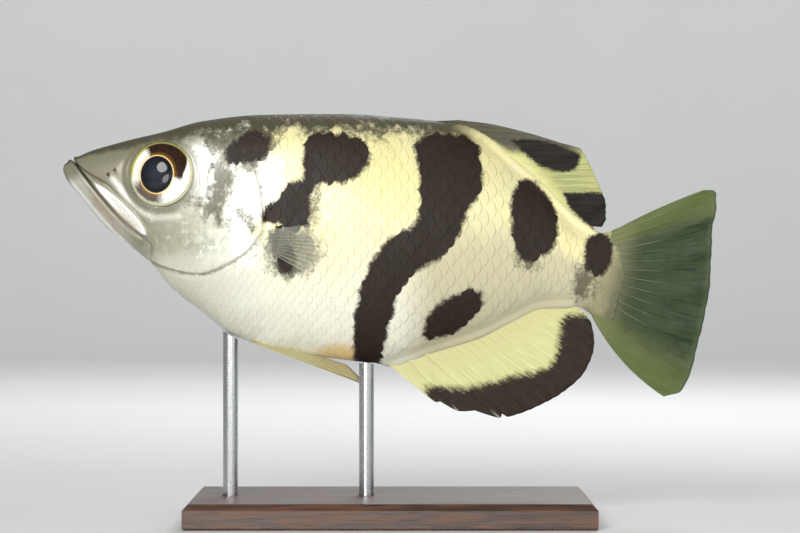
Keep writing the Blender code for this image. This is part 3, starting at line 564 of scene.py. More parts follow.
def fish_colour(w, chance):
    """Base colour of the flesh and its scales, and where it is dull: the dark marks and the olive back.

    Places are in millimetres: rear grows to the tail, up to the back, and stem leans as the tail's base."""
    high, deep, soft, bright = (w.data(label) for label in ("high", "deep", "soft", "bright"))
    cloud, patches, speck = w.noise(7.0), w.noise(1.5), w.noise(0.45, detail=4.0)
    x, _, z = w.place().split()
    rear, up = x / MM, z / MM
    stem = rear - (up - TAIL_MIDDLE) * TAIL_LEAN
    level = high + cloud * 0.10 + chance * 0.015
    cloudy_rear = rear + cloud * 10.0

    below_back = 1 - level.step(0.90, 0.98) * rear.step(12.0, 4.0)
    warm = level.step(0.38, 0.60) * below_back * (w.noise(14.0) * 1.4 + 0.66).held()
    warm = warm * cloudy_rear.step(-38.0, -24.0)
    tan = rear.step(0.0, 10.0) * (1 - (level + patches * 0.1).step(0.40, 0.66))
    face = ((patches + speck) * 0.8 + 0.5).held().mix(FACE_SHADE, FACE_LIGHT)
    above_throat = (up + cloud * 6.0).step(49.5, 55.0)
    cheek = (rear + cloud * 6.0).step(-53.0, -46.0) * cloudy_rear.step(-24.0, -34.0)
    cheek = cheek * (up + patches * 3.0).step(50.5, 56.0)
    grey_cheek = (patches * 1.5 + cloud * 1.2 + speck * 0.5).step(-0.25, 0.50) * cheek
    # Pale silver flecks on the cheek, which are partly painted glints of its small scales.
    cheek_flecks_and_glints = (cloud * 0.8 - patches * 1.3 + speck * 0.5).step(0.06, 0.42) * cheek
    from_vent = (((rear - VENT_PLACE[0]) * 0.5) ** 2.0 + (up - VENT_PLACE[1]) ** 2.0) ** 0.5 + patches
    bony = (bright * (1.35 + speck * 0.9 + patches * 1.1 + cloud * 0.8)).held()
    top = (w.data("brow") + patches * 0.3 + speck * 0.2).step(0.15, 0.85) * cloudy_rear.step(-30.0, -40.0)
    olive = (level + patches * 0.10 + speck * 0.05).step(0.885, 0.955) * (rear + patches * 4.0).step(21.0, 11.0)
    haze = (soft + patches * 4.0 + speck * 3.6 + chance * 0.5).step(-0.9, 1.5)
    ink = (deep + patches * 0.9 + speck * 1.1 + chance * 0.15).step(-0.50, 0.42)

    colour = SILVER
    for mask, shade in (
            (level.step(0.16, 0.46), PALE_FLANK),
            (warm, WARM_FLANK),
            ((patches + speck).step(0.02, 0.42) * 0.22, GREY_FLECK),
            ((speck + cloud * 0.6).step(0.10, 0.30) * level.step(0.72, 0.90) * 0.6, GREEN_GLINT),
            (tan * 0.8, LOW_TAN),
            (cloudy_rear.step(-21.0, -31.0) * 0.9, BREAST),
            ((rear + cloud * 14.0).step(-30.0, -45.0) * above_throat * 0.9, face),
            (cloudy_rear.step(-42.0, -53.0) * above_throat * 0.85, SNOUT_GREY),
            (grey_cheek * 0.6, CHEEK_GREY),
            (cheek_flecks_and_glints * 0.5, BONE),
            ((stem + patches * 3.0).step(38.0, 43.0) * 0.85, STEM),
            ((stem + patches * 2.0).step(43.2, 46.6) * 0.85, STEM_END),
            (cloudy_rear.step(-22.0, -42.0) * (1 - above_throat) * 0.55, THROAT),
            (from_vent.step(3.4, 1.0) * 0.7, VENT_ORANGE),
            (bony * 0.96, BONE),
            (top * 0.9, BROW),
            (olive, OLIVE),
            (haze * 0.84, HAZE),
            (ink, (patches + 0.5).held().mix(DARK, DARK_BROWN))):
        colour = mask.mix(colour, shade)
    return colour, ink.most(olive.most(top))


skin_finish, w, give = finish_of("fish skin", Coat_Roughness=0.24, Specular_IOR_Level=0.25)
colour, dull = fish_colour(w, w.noise(1.1) * 1.6)
fine = w.noise(0.6, detail=4.0)
colour = (w.data("rust") * (fine + 0.65).held()).mix(colour, RUST)
# Painted shade darkens the head's creases and hollows.
colour = (w.data("groove") * 0.92).mix(colour, CREASE_SHADE_TONE)
texture = w.node("ShaderNodeBump", sockets={"Strength": 0.35, "Distance": 0.10 * MM,
                                            "Height": fine + w.noise(2.5) * 0.8})
give(Base_Color=colour, Roughness=0.42 + w.noise(2.0) * 0.2 - w.data("bright") * 0.14 + dull * 0.15,
     Metallic=(1 - dull) * 0.18 + w.data("bright") * 0.3, Coat_Weight=(1 - dull) * 0.3, Normal=texture)
skin.data.materials.append(skin_finish)
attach(skin, "root")
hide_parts("head", "lower_jaw", "gill_cover_left", "gill_cover_right", "trunk", "tail_stem")


# Scales: thin bony scales in rows along the body, each rooted in the skin and lapped over the one behind it.
# They are broad on the flanks, small on the head and the breast, and smallest on the base of the tail fin.

LAY_STEP, LAY_REACH = 0.25, 46.0
SCALE_ACROSS = (-1.0, -0.96, -0.76, -0.46, -0.16, 0.16, 0.46, 0.76, 0.96, 1.0)
SCALE_ALONG = (0.0, 0.55, 0.965, 1.0)
SCALE_PATCH = 0.003       # share of the map that one scale's colours take
LAY_RING, PAST = 260, 24  # steps round one side, and places taken from the other side past the back and belly
SCALE_ROOT, SCALE_LONG, SCALE_WIDE = -1.0, 1.75, 1.07     # root and length in pitches, and width in gaps
FULL_PITCH = 2.65         # pitch of the scales that stand as high as the next line says
SCALE_SUNK, SCALE_LIFT, SCALE_ARCH, SCALE_THICK = 0.03, 0.12, 0.012, 0.032
lay_stations = np.arange(-56.0, TAIL_END + LAY_STEP / 2, LAY_STEP)
lay_offsets = np.arange(-LAY_REACH, LAY_REACH + LAY_STEP / 2, LAY_STEP)


def lay_table():
    """Places and normals of the left skin, by station and by offset round it from the middle of the flank."""
    table = np.empty((len(lay_stations), len(lay_offsets), 6))
    ends = np.empty((len(lay_stations), 2))
    rows, normals, ways = rings(lay_stations, LAY_RING)
    both = np.concatenate([rows, normals], axis=2)
    flip = np.tile(OTHER_SIDE, 2)
    for number, (row, way) in enumerate(zip(both, ways)):
        middle = np.interp(-along(WIDEST, lay_stations[number]), -row[:, 2], way)
        row = np.concatenate([row[PAST:0:-1] * flip, row, row[-2:-PAST - 2:-1] * flip])
        spread = np.concatenate([-way[PAST:0:-1], way, 2 * way[-1] - way[-2:-PAST - 2:-1]]) - middle
        for column in range(6):
            table[number, :, column] = np.interp(lay_offsets, spread, row[:, column])
        ends[number] = -middle, way[-1] - middle
    return table, ends


skin_table, skin_ends = lay_table()


def lay(s, offset, height, side):
    """Places at a height over the skin: s along the body, offset down round it, side 1 left or -1 right."""
    row = np.clip((s - lay_stations[0]) / LAY_STEP, 0, len(lay_stations) - 1.001)
    column = np.clip((offset + LAY_REACH) / LAY_STEP, 0, len(lay_offsets) - 1.001)
    i, j = row.astype(int), column.astype(int)
    u, v = (row - i)[..., None], (column - j)[..., None]
    found = ((1 - u) * ((1 - v) * skin_table[i, j] + v * skin_table[i, j + 1])
             + u * ((1 - v) * skin_table[i + 1, j] + v * skin_table[i + 1, j + 1]))
    return (found[..., :3] + height[..., None] * found[..., 3:]) * np.array([1.0, side, 1.0])


def lattice(first, last, pitch, gap, slimmer=0.0):
    """Seats of staggered rows of scales: (s, offset, pitch, gap) for each."""
    columns = [first]
    while columns[-1] < last:
        columns.append(columns[-1] + float(along(pitch, columns[-1])))
    columns = np.array(columns)
    found = []
    for direction in (1, -1):
        offset, row = 0.0, 0
        while abs(offset) < LAY_REACH - 3:
            tall = gap * (1 - slimmer * float(ease(abs(offset), 12.0, 26.0)))
            if row or direction == 1:
                at = columns[:-1] + (row % 2) * np.diff(columns) / 2
                found += [(s, offset, long, tall) for s, long in zip(at, np.diff(columns))]
            row += 1
            offset += direction * tall
    return np.array(found)


def place_of(seats):
    found = lay(seats[:, 0], seats[:, 1], np.zeros(len(seats)), 1)
    return found[:, 0], found[:, 2]


def on_body(seats):
    low = np.interp(seats[:, 0], lay_stations, skin_ends[:, 0])
    high = np.interp(seats[:, 0], lay_stations, skin_ends[:, 1])
    return (seats[:, 1] > low - 0.3) & (seats[:, 1] < high + 0.3)


# Offset below which the scales are small, and the scales' pitch along the body in each patch, both along s.
SMALL_BELOW = ((-34.0, 7.0), (-24.0, 10.5), (-14.0, 17.0), (-4.0, 24.0), (4.0, 32.0), (48.0, 60.0))
FLANK_PITCH = ((-34.0, 2.3), (-14.0, 2.65), (18.0, 2.6), (32.0, 2.2), (41.0, 1.7))
HEAD_PITCH = ((-56.0, 1.0), (-42.0, 1.3), (-24.0, 1.6))
BREAST_PITCH = ((-50.0, 1.2), (-30.0, 1.6), (0.0, 2.0), (6.0, 2.4))
TAIL_PITCH = ((38.0, 1.35), (47.0, 0.9))
FLANK_GAP, BREAST_GAP, HEAD_GAP, TAIL_GAP = 2.0, 1.25, 1.08, 0.95         # between rows, round the body
FLANK_END, SMALL_FROM, END_LEAN = 40.5, 40.3, 0.2         # end of the flank's scales, start of the tail's
FACE_FRONT = ((50.0, -47.0), (56.0, -47.0), (72.0, -45.0), (75.0, -52.0), (82.0, -54.0))      # Z, X
PECTORAL_ROOT = (-23.6, 55.8, 2.4, 3.4)                   # bare place round the fin's root: X, Z, half sizes
FOLD_MARGIN, FOLD_TUCK, FOLD_TUCKED = 1.7, 3.2, 0.45      # bare edge, width and depth of the tucked scales


def all_seats():
    """Every scale of one flank, behind the lips and the eye: (s, offset, pitch, gap, raised, tucked)."""
    flank = lattice(-34.0, 40.6, FLANK_PITCH, FLANK_GAP, slimmer=0.28)
    breast = lattice(-50.0, 8.0, BREAST_PITCH, BREAST_GAP)
    head = lattice(-54.0, -23.0, HEAD_PITCH, HEAD_GAP)
    tail = lattice(39.0, TAIL_END - 0.6, TAIL_PITCH, TAIL_GAP)
    face_z, face_x = zip(*FACE_FRONT)
    root_x, root_z, root_long, root_tall = PECTORAL_ROOT
    kept = []
    for name, seats in (("flank", flank), ("breast", breast), ("head", head), ("tail", tail)):
        seats = seats[on_body(seats)]
        x, z = place_of(seats)
        edge = beside(drawn(GILL_EDGE), x, z)[0]
        limit = along(SMALL_BELOW, seats[:, 0])
        behind = (edge < -0.45) & (x > -47.0)
        to_back = seats[:, 1] - np.interp(seats[:, 0], lay_stations, skin_ends[:, 0])
        to_belly = np.interp(seats[:, 0], lay_stations, skin_ends[:, 1]) - seats[:, 1]
        raised = 0.5 + 0.5 * ease(to_back, 1.0, 8.0)
        if name == "flank":
            keep = behind & (seats[:, 1] <= limit) & (x < FLANK_END + END_LEAN * (z - TAIL_MIDDLE))
        elif name == "breast":
            keep = behind & (seats[:, 1] > limit) & ((x > -42.0) | (z < 47.5))
        elif name == "tail":
            keep = x > SMALL_FROM + END_LEAN * (z - TAIL_MIDDLE)
        else:
            eye = np.hypot(x - EYE_PLACE[0], z - EYE_PLACE[1])
            gap = -beside(drawn(MOUTH), x, z)[0]
            jaw = beside(drawn(JAW_END), x, z)[0]
            front = x - np.interp(z, face_z, face_x)
            clear = np.minimum(np.minimum(front, 1.5 * (eye - 8.8)), np.minimum(gap - 3.0, np.abs(jaw) - 1.2))
            keep = (edge > 1.0) & (clear > 0) & (z > 50.0)
            raised = raised * ease(clear, -0.5, 5.0)
        root = np.hypot((x - root_x) / root_long, (z - root_z) / root_tall) < 1
        margin = FOLD_MARGIN + seats[:, 3]
        fold = ((to_back < margin) & (x > 6.0) & (x < 41.0)) | ((to_belly < margin) & (x > -3.0) & (x < 38.5))
        tucked = (name != "head") * (np.abs(edge) < 4.5)
        seats = np.column_stack([seats, raised, tucked])
        kept.append(seats[keep & ~root & ~fold])
    return np.concatenate(kept)


def scale_coat(name, seats, side, seed):
    """Joined thin solid scales on their seats, with the markings of each one's own root."""
    chance = np.random.default_rng(seed)
    f = np.array(SCALE_ACROSS)[None, :]
    e = np.array(SCALE_ALONG)[:, None] * (1 - 0.42 * (1 - np.sqrt(1 - 0.96 * f * f)))
    f = np.broadcast_to(f, e.shape)
    grid = np.arange(e.size).reshape(e.shape)
    rim = np.concatenate([grid[0], grid[1:, -1], grid[-1, -2::-1], grid[-2:0:-1, 0]])
    at_e = np.concatenate([e.ravel(), e.ravel()[rim]])
    at_f = np.concatenate([f.ravel(), f.ravel()[rim]])
    under = np.arange(len(at_e)) >= e.size
    quads = np.stack([grid[:-1, :-1], grid[:-1, 1:], grid[1:, 1:], grid[1:, :-1]], axis=2).reshape(-1, 4)
    below = e.size + np.arange(len(rim))
    walls = np.stack([rim, below, np.roll(below, -1), np.roll(rim, -1)], axis=1)
    faces = [list(q) for q in quads] + [list(q) for q in walls] + [list(below[::-1])]
    if side < 0:
        faces = [face[::-1] for face in faces]

    s, offset, pitch, gap, raised, tucked = (seats[:, c:c + 1] for c in range(6))
    count = len(seats)
    size = (pitch / FULL_PITCH) ** 0.75
    luck = chance.uniform(-1, 1, (count, 3))
    turn = luck[:, :1] * 0.05
    along_it = (SCALE_ROOT + SCALE_LONG * at_e) * pitch
    across = at_f * gap * SCALE_WIDE * (1 + 0.03 * luck[:, 1:2])
    ds, do = along_it - turn * across, across + turn * along_it
    height = -SCALE_SUNK + SCALE_LIFT * at_e - SCALE_ARCH * at_f ** 2 + 0.015 * luck[:, 2:3] * at_e
    height = height * size * raised - SCALE_SUNK * (1 - raised) - np.where(under, SCALE_THICK * size, 0.0)
    row, column = s + ds, offset + do
    flat = lay(row, column, 0 * height, 1)
    near_gill = np.flatnonzero(tucked[:, 0])
    edge = beside(drawn(GILL_EDGE), flat[near_gill, :, 0], flat[near_gill, :, 2])[0]
    height[near_gill] -= 0.9 * ease(edge, -0.75, -0.15)
    to_back = column - np.interp(row, lay_stations, skin_ends[:, 0])
    to_belly = np.interp(row, lay_stations, skin_ends[:, 1]) - column
    to_fold = np.minimum(np.where(row > 8.0, to_back, LAY_REACH), np.where(row > -2.0, to_belly, LAY_REACH))
    height -= FOLD_TUCKED * ease(FOLD_TUCK - to_fold, 0.0, 2.0) * (row < 39.0)
    places = lay(row, column, height, side).reshape(-1, 3)
    seat_x, seat_z = place_of(seats)
    own_x, own_z = places[:, 0], places[:, 2]
    each = at_e.size

    def shared(marking):
        """A marking as a scale shows it, by each of its points and in part by its root alone."""
        return 0.3 * np.repeat(marking(seat_x, seat_z), each) + 0.7 * marking(own_x, own_z)

    tones = head_tones(own_x, own_z)
    data = {"deep": shared(lambda x, z: marks(DEEP_MARKS, x, z)),
            "soft": shared(lambda x, z: marks(SOFT_MARKS, x, z)),
            "high": shared(height_share),
            "chance": np.repeat(luck[:, 1], each), "bright": tones["bright"], "brow": tones["brow"],
            "rear": np.tile(at_e / at_e.max(), count), "cross": np.tile(at_f, count)}
    shifts = (np.arange(count) * each)[:, None]
    joined = [corners for face in faces for corners in (np.asarray(face) + shifts).tolist()]
    coat = make_mesh(name, places, joined, data)
    root_map = map_place(s, offset, 0 if side > 0 else 1)
    patch = np.stack([at_e - 0.5, at_f * 0.5], axis=-1) * SCALE_PATCH
    per_place = (root_map + patch[None]).reshape(-1, 2)
    corner = np.empty(len(coat.data.loops), np.int32)
    coat.data.loops.foreach_get("vertex_index", corner)
    unwrap(coat, per_place[corner])
    return coat


scale_finish, w, give = finish_of("fish scales", Coat_Roughness=0.2, Specular_IOR_Level=0.25)
chance, rear, cross = w.data("chance"), w.data("rear"), w.data("cross")
colour, dull = fish_colour(w, chance)
fine = w.noise(0.6, detail=4.0)
rim_shade = rear.step(0.86, 1.0) * (1 - dull * 0.7)
colour = (rim_shade * (chance * 0.03 + fine * 0.2 + 0.04).held()).mix(colour, tone(164, 161, 124))
growth = (rear * 70.0).sine() * 0.12
combed = (cross * 38.0).sine() * 0.22 * rear.step(0.5, 0.9)
texture = w.node("ShaderNodeBump", sockets={"Strength": 0.3, "Distance": 0.03 * MM,
                                            "Height": growth + combed + fine})
give(Base_Color=colour, Roughness=0.38 + chance * 0.06 + dull * 0.14,
     Metallic=(1 - dull) * (0.20 + chance * 0.08), Coat_Weight=(1 - dull) * 0.3, Normal=texture)
seats = all_seats()
for label, side, seed in (("left", 1, 7), ("right", -1, 8)):
    coat = scale_coat("scales_" + label, seats, side, seed)
    coat.data.materials.append(scale_finish)
    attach(coat, "root")


# Eyes: a bulging ball with a broad silver iris that carries a dark band, a narrow gold ring and a large slate
# pupil, all under a clear, wet cornea. Each sits in its socket and stays a piece of its own.

EYE_BULGE, EYE_SINK, EYE_DEPTH = 2.3, 0.7, 4.0            # the cornea's height, its sink, and the ball behind
EYE_TURN, EYE_LIFT = math.radians(10.0), math.radians(7.0)
PUPIL_PLACE, PUPIL_SIZE = (-0.46, -0.38), (3.30, 3.62)
EYE_SIDES, CORNEA_RINGS, REAR_RINGS, REAR_RADIUS = 96, 44, 8, 3.0
IRIS_RIM = 6.2
PUPIL_RISE, IRIS_DIP, RIM_DIP = 0.20, 0.10, 0.22          # soft forms in the cornea's outer face
ball = (EYE_RADIUS ** 2 + EYE_BULGE ** 2) / (2 * EYE_BULGE)      # radius of the cornea's own curve


def flank_width(x, z):
    """Distance of the body's side from the middle plane."""
    wide = along(WIDEST, x)
    top, low = along(BACK, x), along(BELLY, x)
    share = (z - wide) / (top - wide) if z > wide else (wide - z) / (wide - low)
    power = along(UPPER_ROUNDING if z > wide else LOWER_ROUNDING, x)
    return float(along(HALF_WIDTH, x) * (1 - min(share, 1.0) ** power) ** (1 / power))


def make_eye(label, side):
    """One eyeball, side -1 left or 1 right. Its attribute plane is each point's place across the iris."""
    sides, places, plane = EYE_SIDES, [], []
    out = np.array([-math.sin(EYE_TURN), side, math.sin(EYE_LIFT)])
    out /= np.linalg.norm(out)
    rear = np.cross(out, [0.0, 0.0, 1.0]) * -side
    rear /= np.linalg.norm(rear)
    rear *= 1 if rear[0] > 0 else -1
    up = np.cross(rear, out) * side
    up *= 1 if up[2] > 0 else -1
    centre = np.array([EYE_PLACE[0], side * (flank_width(*EYE_PLACE) - EYE_SINK), EYE_PLACE[1]])
    radii = np.concatenate([np.linspace(0.15, EYE_RADIUS, CORNEA_RINGS),
                            np.linspace(EYE_RADIUS, REAR_RADIUS, REAR_RINGS)[1:]])
    for number, radius in enumerate(radii):
        for k in range(sides):
            a, b = radius * math.cos(2 * math.pi * k / sides), radius * math.sin(2 * math.pi * k / sides)
            if number < CORNEA_RINGS:
                height = math.sqrt(ball ** 2 - radius ** 2) - ball + EYE_BULGE
                reach = math.hypot((a - PUPIL_PLACE[0]) / PUPIL_SIZE[0], (b - PUPIL_PLACE[1]) / PUPIL_SIZE[1])
                height += (PUPIL_RISE * (1 - float(ease(reach, 0.80, 1.02)))
                           - IRIS_DIP * float(bump(reach - 1.35, 0.22)))
                height -= RIM_DIP * float(ease(radius, 5.7, 6.5))
            else:
                height = -EYE_DEPTH * math.sin((number + 1 - CORNEA_RINGS) / REAR_RINGS * math.pi / 2)
            places.append(centre + rear * a + up * b + out * height)
            plane.append((a, b, 0.0))
    faces = [[i * sides + k, i * sides + (k + 1) % sides, (i + 1) * sides + (k + 1) % sides,
              (i + 1) * sides + k] for i in range(len(radii) - 1) for k in range(sides)]
    first, last = list(range(sides)), list(range((len(radii) - 1) * sides, len(radii) * sides))
    faces = [face[::-1] for face in faces] + [first, last[::-1]]
    if np.dot(np.cross(rear, up), out) < 0:
        faces = [face[::-1] for face in faces]
    eye = make_mesh("eyeball_" + label, places, faces, {"plane": plane})
    eye.data.materials.append(eye_finish)
    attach(eye, "root")
    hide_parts("eye_" + label)


eye_finish, w, give = finish_of("eye", Coat_Weight=1.0, Coat_Roughness=0.02, Coat_IOR=1.24,
                                 Specular_IOR_Level=0.12)
across, upward, _ = w.node("ShaderNodeAttribute", {"attribute_name": "plane"}, output=1).split()
radius = (across ** 2 + upward ** 2) ** 0.5
from_pupil = (((across - PUPIL_PLACE[0]) / PUPIL_SIZE[0]) ** 2
              + ((upward - PUPIL_PLACE[1]) / PUPIL_SIZE[1]) ** 2) ** 0.5
streak = w.noise(0.5, detail=5.0)


def sector(middle, half, soft=0.12):
    """Part of the iris within half degrees of a direction: 0 is to the rear, 90 is up."""
    toward = across * math.cos(math.radians(middle)) + upward * math.sin(math.radians(middle))
    limit = math.cos(math.radians(half))
    return (toward / (radius + 0.01) + streak * 0.25).step(limit - soft, limit + soft)


iris = (streak * 1.5 + 0.5).held().mix(tone(244, 242, 222), tone(255, 255, 252))
band = sector(52, 70) * (1 - (radius + streak * 0.6 - (sector(98, 80, 0.5) * 1.7 + 4.55)).step(0.0, 0.35))
brown = (streak * 1.4 + 0.5).held()
for mask, shade in (
        (sector(128, 58) * (radius + streak * 0.3).step(5.4, 5.9), tone(190, 182, 84)),
        (band, brown.mix(tone(8, 5, 4), tone(58, 34, 16))),
        (sector(-122, 36) * (1 - (radius + streak * 0.8).step(5.6, 6.2)) * 0.92,
         brown.mix(tone(14, 9, 7), tone(84, 52, 30))),
        ((streak + 0.5).held() * (1 - (from_pupil - 1.0).step(0.02, 0.34)) * 0.6, tone(196, 140, 52)),
        ((1 - abs(from_pupil - 1.045).step(0.005, 0.045)) * 0.9, tone(250, 222, 150)),
        (abs(radius - IRIS_RIM).step(0.34, 0.10) * 0.6, tone(176, 174, 96)),
        (radius.step(6.30, 6.48) * 0.9, tone(52, 48, 28))):
    iris = mask.mix(iris, shade)
black = 1 - from_pupil.step(0.97, 1.03)
colour = black.mix(iris, (from_pupil + streak * 0.2).step(0.0, 1.0).mix(tone(40, 44, 52), tone(20, 21, 26)))
texture = w.node("ShaderNodeBump", sockets={"Strength": 0.25, "Distance": 0.05 * MM,
                                            "Height": streak * (1 - black)})
give(Base_Color=colour, Metallic=(1 - black) * (1 - band) * 0.25, Roughness=0.30 - black * 0.22, Normal=texture)
for label, side in (("left", -1), ("right", 1)):
    make_eye(label, side)


# Dorsal and anal fins: thin membrane over stiff spines in front and soft rays behind, which fork twice towards
# the edge. Their feet stand in low folds of skin. The dorsal spines lie folded back along the upper edge.

# Rays as (number, root X, root Z, tip X, tip Z); the rays between them are spaced evenly.
DORSAL = ((0, 8.0, 79.7, 13.5, 80.0), (1, 10.5, 79.4, 19.5, 79.3), (2, 13.2, 78.6, 24.5, 78.2),
          (3, 16.0, 77.5, 29.0, 77.0), (4, 18.6, 76.0, 33.5, 75.6), (5, 21.5, 73.8, 38.0, 74.2),
          (8, 25.6, 70.2, 40.1, 70.6), (11, 29.4, 66.9, 41.8, 66.9), (14, 33.4, 62.9, 43.1, 62.8),
          (16, 36.4, 60.3, 43.1, 60.2), (17, 38.8, 58.8, 42.3, 58.6))
ANAL = ((0, -0.6, 31.3, 8.7, 23.7), (1, 3.4, 32.4, 13.5, 21.8), (2, 6.6, 33.6, 21.8, 20.4),
        (3, 9.0, 34.4, 24.3, 20.8), (6, 13.5, 35.8, 30.0, 23.0), (9, 18.5, 37.4, 35.0, 25.9),
        (12, 23.9, 40.1, 39.2, 30.2), (15, 29.5, 42.6, 40.8, 35.4), (17, 33.3, 43.1, 40.2, 39.3),
        (18, 36.2, 43.1, 38.6, 41.6))
PER_RAY, FIN_ROWS = 18, 46        # mesh columns for each ray, and rows from root to edge
FIRST_FORK, SECOND_FORK = 0.21, 0.10      # how far a ray's branches spread, in steps between rays
SPINE_RISE = 0.22


def make_fin(name, rays, spines=0, root_half=0.62, edge_half=0.12, rise=0.09, notch=0.0, bow=(0, 0), sink=2.2,
             middle=None, fork=0.40, ruffle=0.0, outlines=None):
    """A closed fin whose membrane thins to its edge, with its rays raised in both faces.

    middle(x, z) is the Y of its middle surface, notch draws the edge in between spines, bow bends the first and
    last rays, sink roots it in the body, and ruffle waves the membrane sideways near the edge."""
    q = np.arange(rays[-1][0] * PER_RAY + 1) / PER_RAY
    root = np.stack([along(rays, q, 1), along(rays, q, 2)], axis=1)
    edge = np.stack([along(rays, q, 3), along(rays, q, 4)], axis=1)
    way = (edge - root) / np.linalg.norm(edge - root, axis=1, keepdims=True)
    near = q - np.round(q)
    spiny = ease(spines - 0.5 - q, -0.1, 0.1) if spines else np.zeros(len(q))
    between = np.abs(2 * near)
    edge = edge - way * (notch * spiny * between ** 1.4 + 0.10 * (1 - spiny) * between)[:, None]
    side = np.stack([-way[:, 1], way[:, 0]], axis=1) * (bow[0] + (bow[1] - bow[0]) * q / q[-1])[:, None]
    v = np.linspace(0, 1, FIN_ROWS)[:, None]
    flat = root[None] + (edge - root)[None] * v[..., None] + side[None] * (4 * v * (1 - v))[..., None]
    flat = np.concatenate([(root - way * sink)[None], flat]) if sink else flat
    v = np.concatenate([[[0.0]], v]) if sink else v
    spacing = np.maximum(np.linalg.norm(np.gradient(flat, 1 / PER_RAY, axis=1), axis=2), 0.3)
    spread = (1 - spiny) * FIRST_FORK * ease(v, fork, 1.0)
    second = (1 - spiny) * SECOND_FORK * ease(v, 0.70, 1.05)
    off = np.abs(np.abs(np.abs(near)[None] - spread) - second)
    thick = (0.20 + 0.22 * spiny) * (1 - 0.55 * v)
    raised = bump(off * spacing, thick)
    half = edge_half + (root_half - edge_half) * (1 - v) ** 2.2
    half = half + raised * (rise + (SPINE_RISE - rise) * spiny) * (1 - 0.6 * v)
    x, z = flat[..., 0], flat[..., 1]
    y = middle(x, z) if middle else np.zeros(x.shape)
    y = y + ruffle * v ** 2 * np.sin(2 * np.pi * (q / 2.7 + 0.8 * v)) * (1 - spiny)
    rows, columns = x.shape
    grid = np.arange(rows * columns).reshape(rows, columns)
    faces = np.stack([grid[:-1, :-1], grid[:-1, 1:], grid[1:, 1:], grid[1:, :-1]], axis=2).reshape(-1, 4)
    rim = np.concatenate([grid[0], grid[1:, -1], grid[-1, -2::-1], grid[-2:0:-1, 0]])
    total = rows * columns
    walls = np.stack([rim, rim + total, np.roll(rim, -1) + total, np.roll(rim, -1)], axis=1)
    places = np.concatenate([np.stack([x, y + out * half, z], axis=2) for out in (-1, 1)]).reshape(-1, 3)
    fields = {"ridge": raised, "out": v, "span": q / q[-1], "spiny": spiny}
    if outlines:
        fields["deep"] = marks(outlines, x, z)
    data = {label: np.tile(np.broadcast_to(field, x.shape).ravel(), 2) for label, field in fields.items()}
    made = make_mesh(name, places, np.concatenate([faces, faces[:, ::-1] + total, walls]).tolist(), data)
    repair = bmesh.new()
    repair.from_mesh(made.data)
    bmesh.ops.recalc_face_normals(repair, faces=repair.faces)
    repair.to_mesh(made.data)
    repair.free()
    return made


def dress(made, finish, slot, *nodes):
    """Gives a fin its material, and puts it in the place of its solids."""
    made.data.materials.append(finish)
    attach(made, "root")
    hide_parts(*nodes)


ANAL_MARGIN = {"margin": ((7.0, 26.6), (11.0, 26.4), (17.0, 26.6), (24.0, 28.6), (30.0, 29.8), (33.0, 32.4),
                          (33.9, 36.8), (34.3, 40.2), (38.6, 41.2), (46.0, 40.0), (44.0, 26.0), (34.0, 16.0),
                          (20.0, 14.0), (8.0, 16.0))}
DORSAL_MARKS = {name: DEEP_MARKS[name] for name in ("dorsal front", "dorsal rear")}


def ray_bump(w, ridge, out):
    """Fine joints across the rays and a faint grain in the membrane."""
    joints = (out * 150.0).sine() * ridge * out.step(0.3, 0.7) * 0.5
    return w.node("ShaderNodeBump", sockets={"Strength": 0.35, "Distance": 0.06 * MM,
                                             "Height": joints + w.noise(0.8) * 0.8})


def streaks(w, span, out, size):
    """Fine streaks that run out along the rays."""
    at = w.node("ShaderNodeCombineXYZ", sockets={0: span * (0.09 / size), 1: out * 0.004, 2: 0.0})
    return w.noise(1.0, detail=3.0, at=at)


def fin_finish(name, cloud_size, streak_size=0.9, **constants):
    """A fin's material, with the data along and across its rays, and the clouds and streaks in its membrane."""
    finish, w, give = finish_of(name, Coat_Roughness=0.25, Specular_IOR_Level=0.2, **constants)
    ridge, out, span = w.data("ridge"), w.data("out"), w.data("span")
    return finish, w, give, ridge, out, span, w.noise(cloud_size), streaks(w, span, out, streak_size)


dorsal_finish, w, give, ridge, out, span, cloud, streak = fin_finish("dorsal fin", 1.5)
colour = (ridge * 0.5 + streak + 0.35).held().mix(tone(130, 134, 84), tone(184, 186, 124))
colour = (1 - (out + cloud * 0.2).step(0.08, 0.45)).mix(colour, tone(206, 203, 140))
front = 1 - (span + cloud * 0.06).step(0.26, 0.36)
spiny_part = (ridge * 0.4 + streak + 0.5).held().mix(tone(50, 47, 37), tone(94, 90, 73))
colour = (front * out.step(0.02, 0.18)).mix(colour, spiny_part)
ink = (w.data("deep") + w.noise(1.2) * 0.9 + w.noise(0.45) * 0.8 + streak * 1.2).step(-0.50, 0.40)
colour = ink.mix(colour, tone(24, 17, 12))
give(Base_Color=colour, Roughness=0.45 + cloud * 0.2 + ink * 0.1, Coat_Weight=(1 - ink) * 0.2,
     Normal=ray_bump(w, ridge, out))
dorsal = make_fin("dorsal_membrane", DORSAL, spines=5, root_half=0.6, ruffle=0.18, outlines=DORSAL_MARKS)
dress(dorsal, dorsal_finish, "fin", "dorsal_fin")

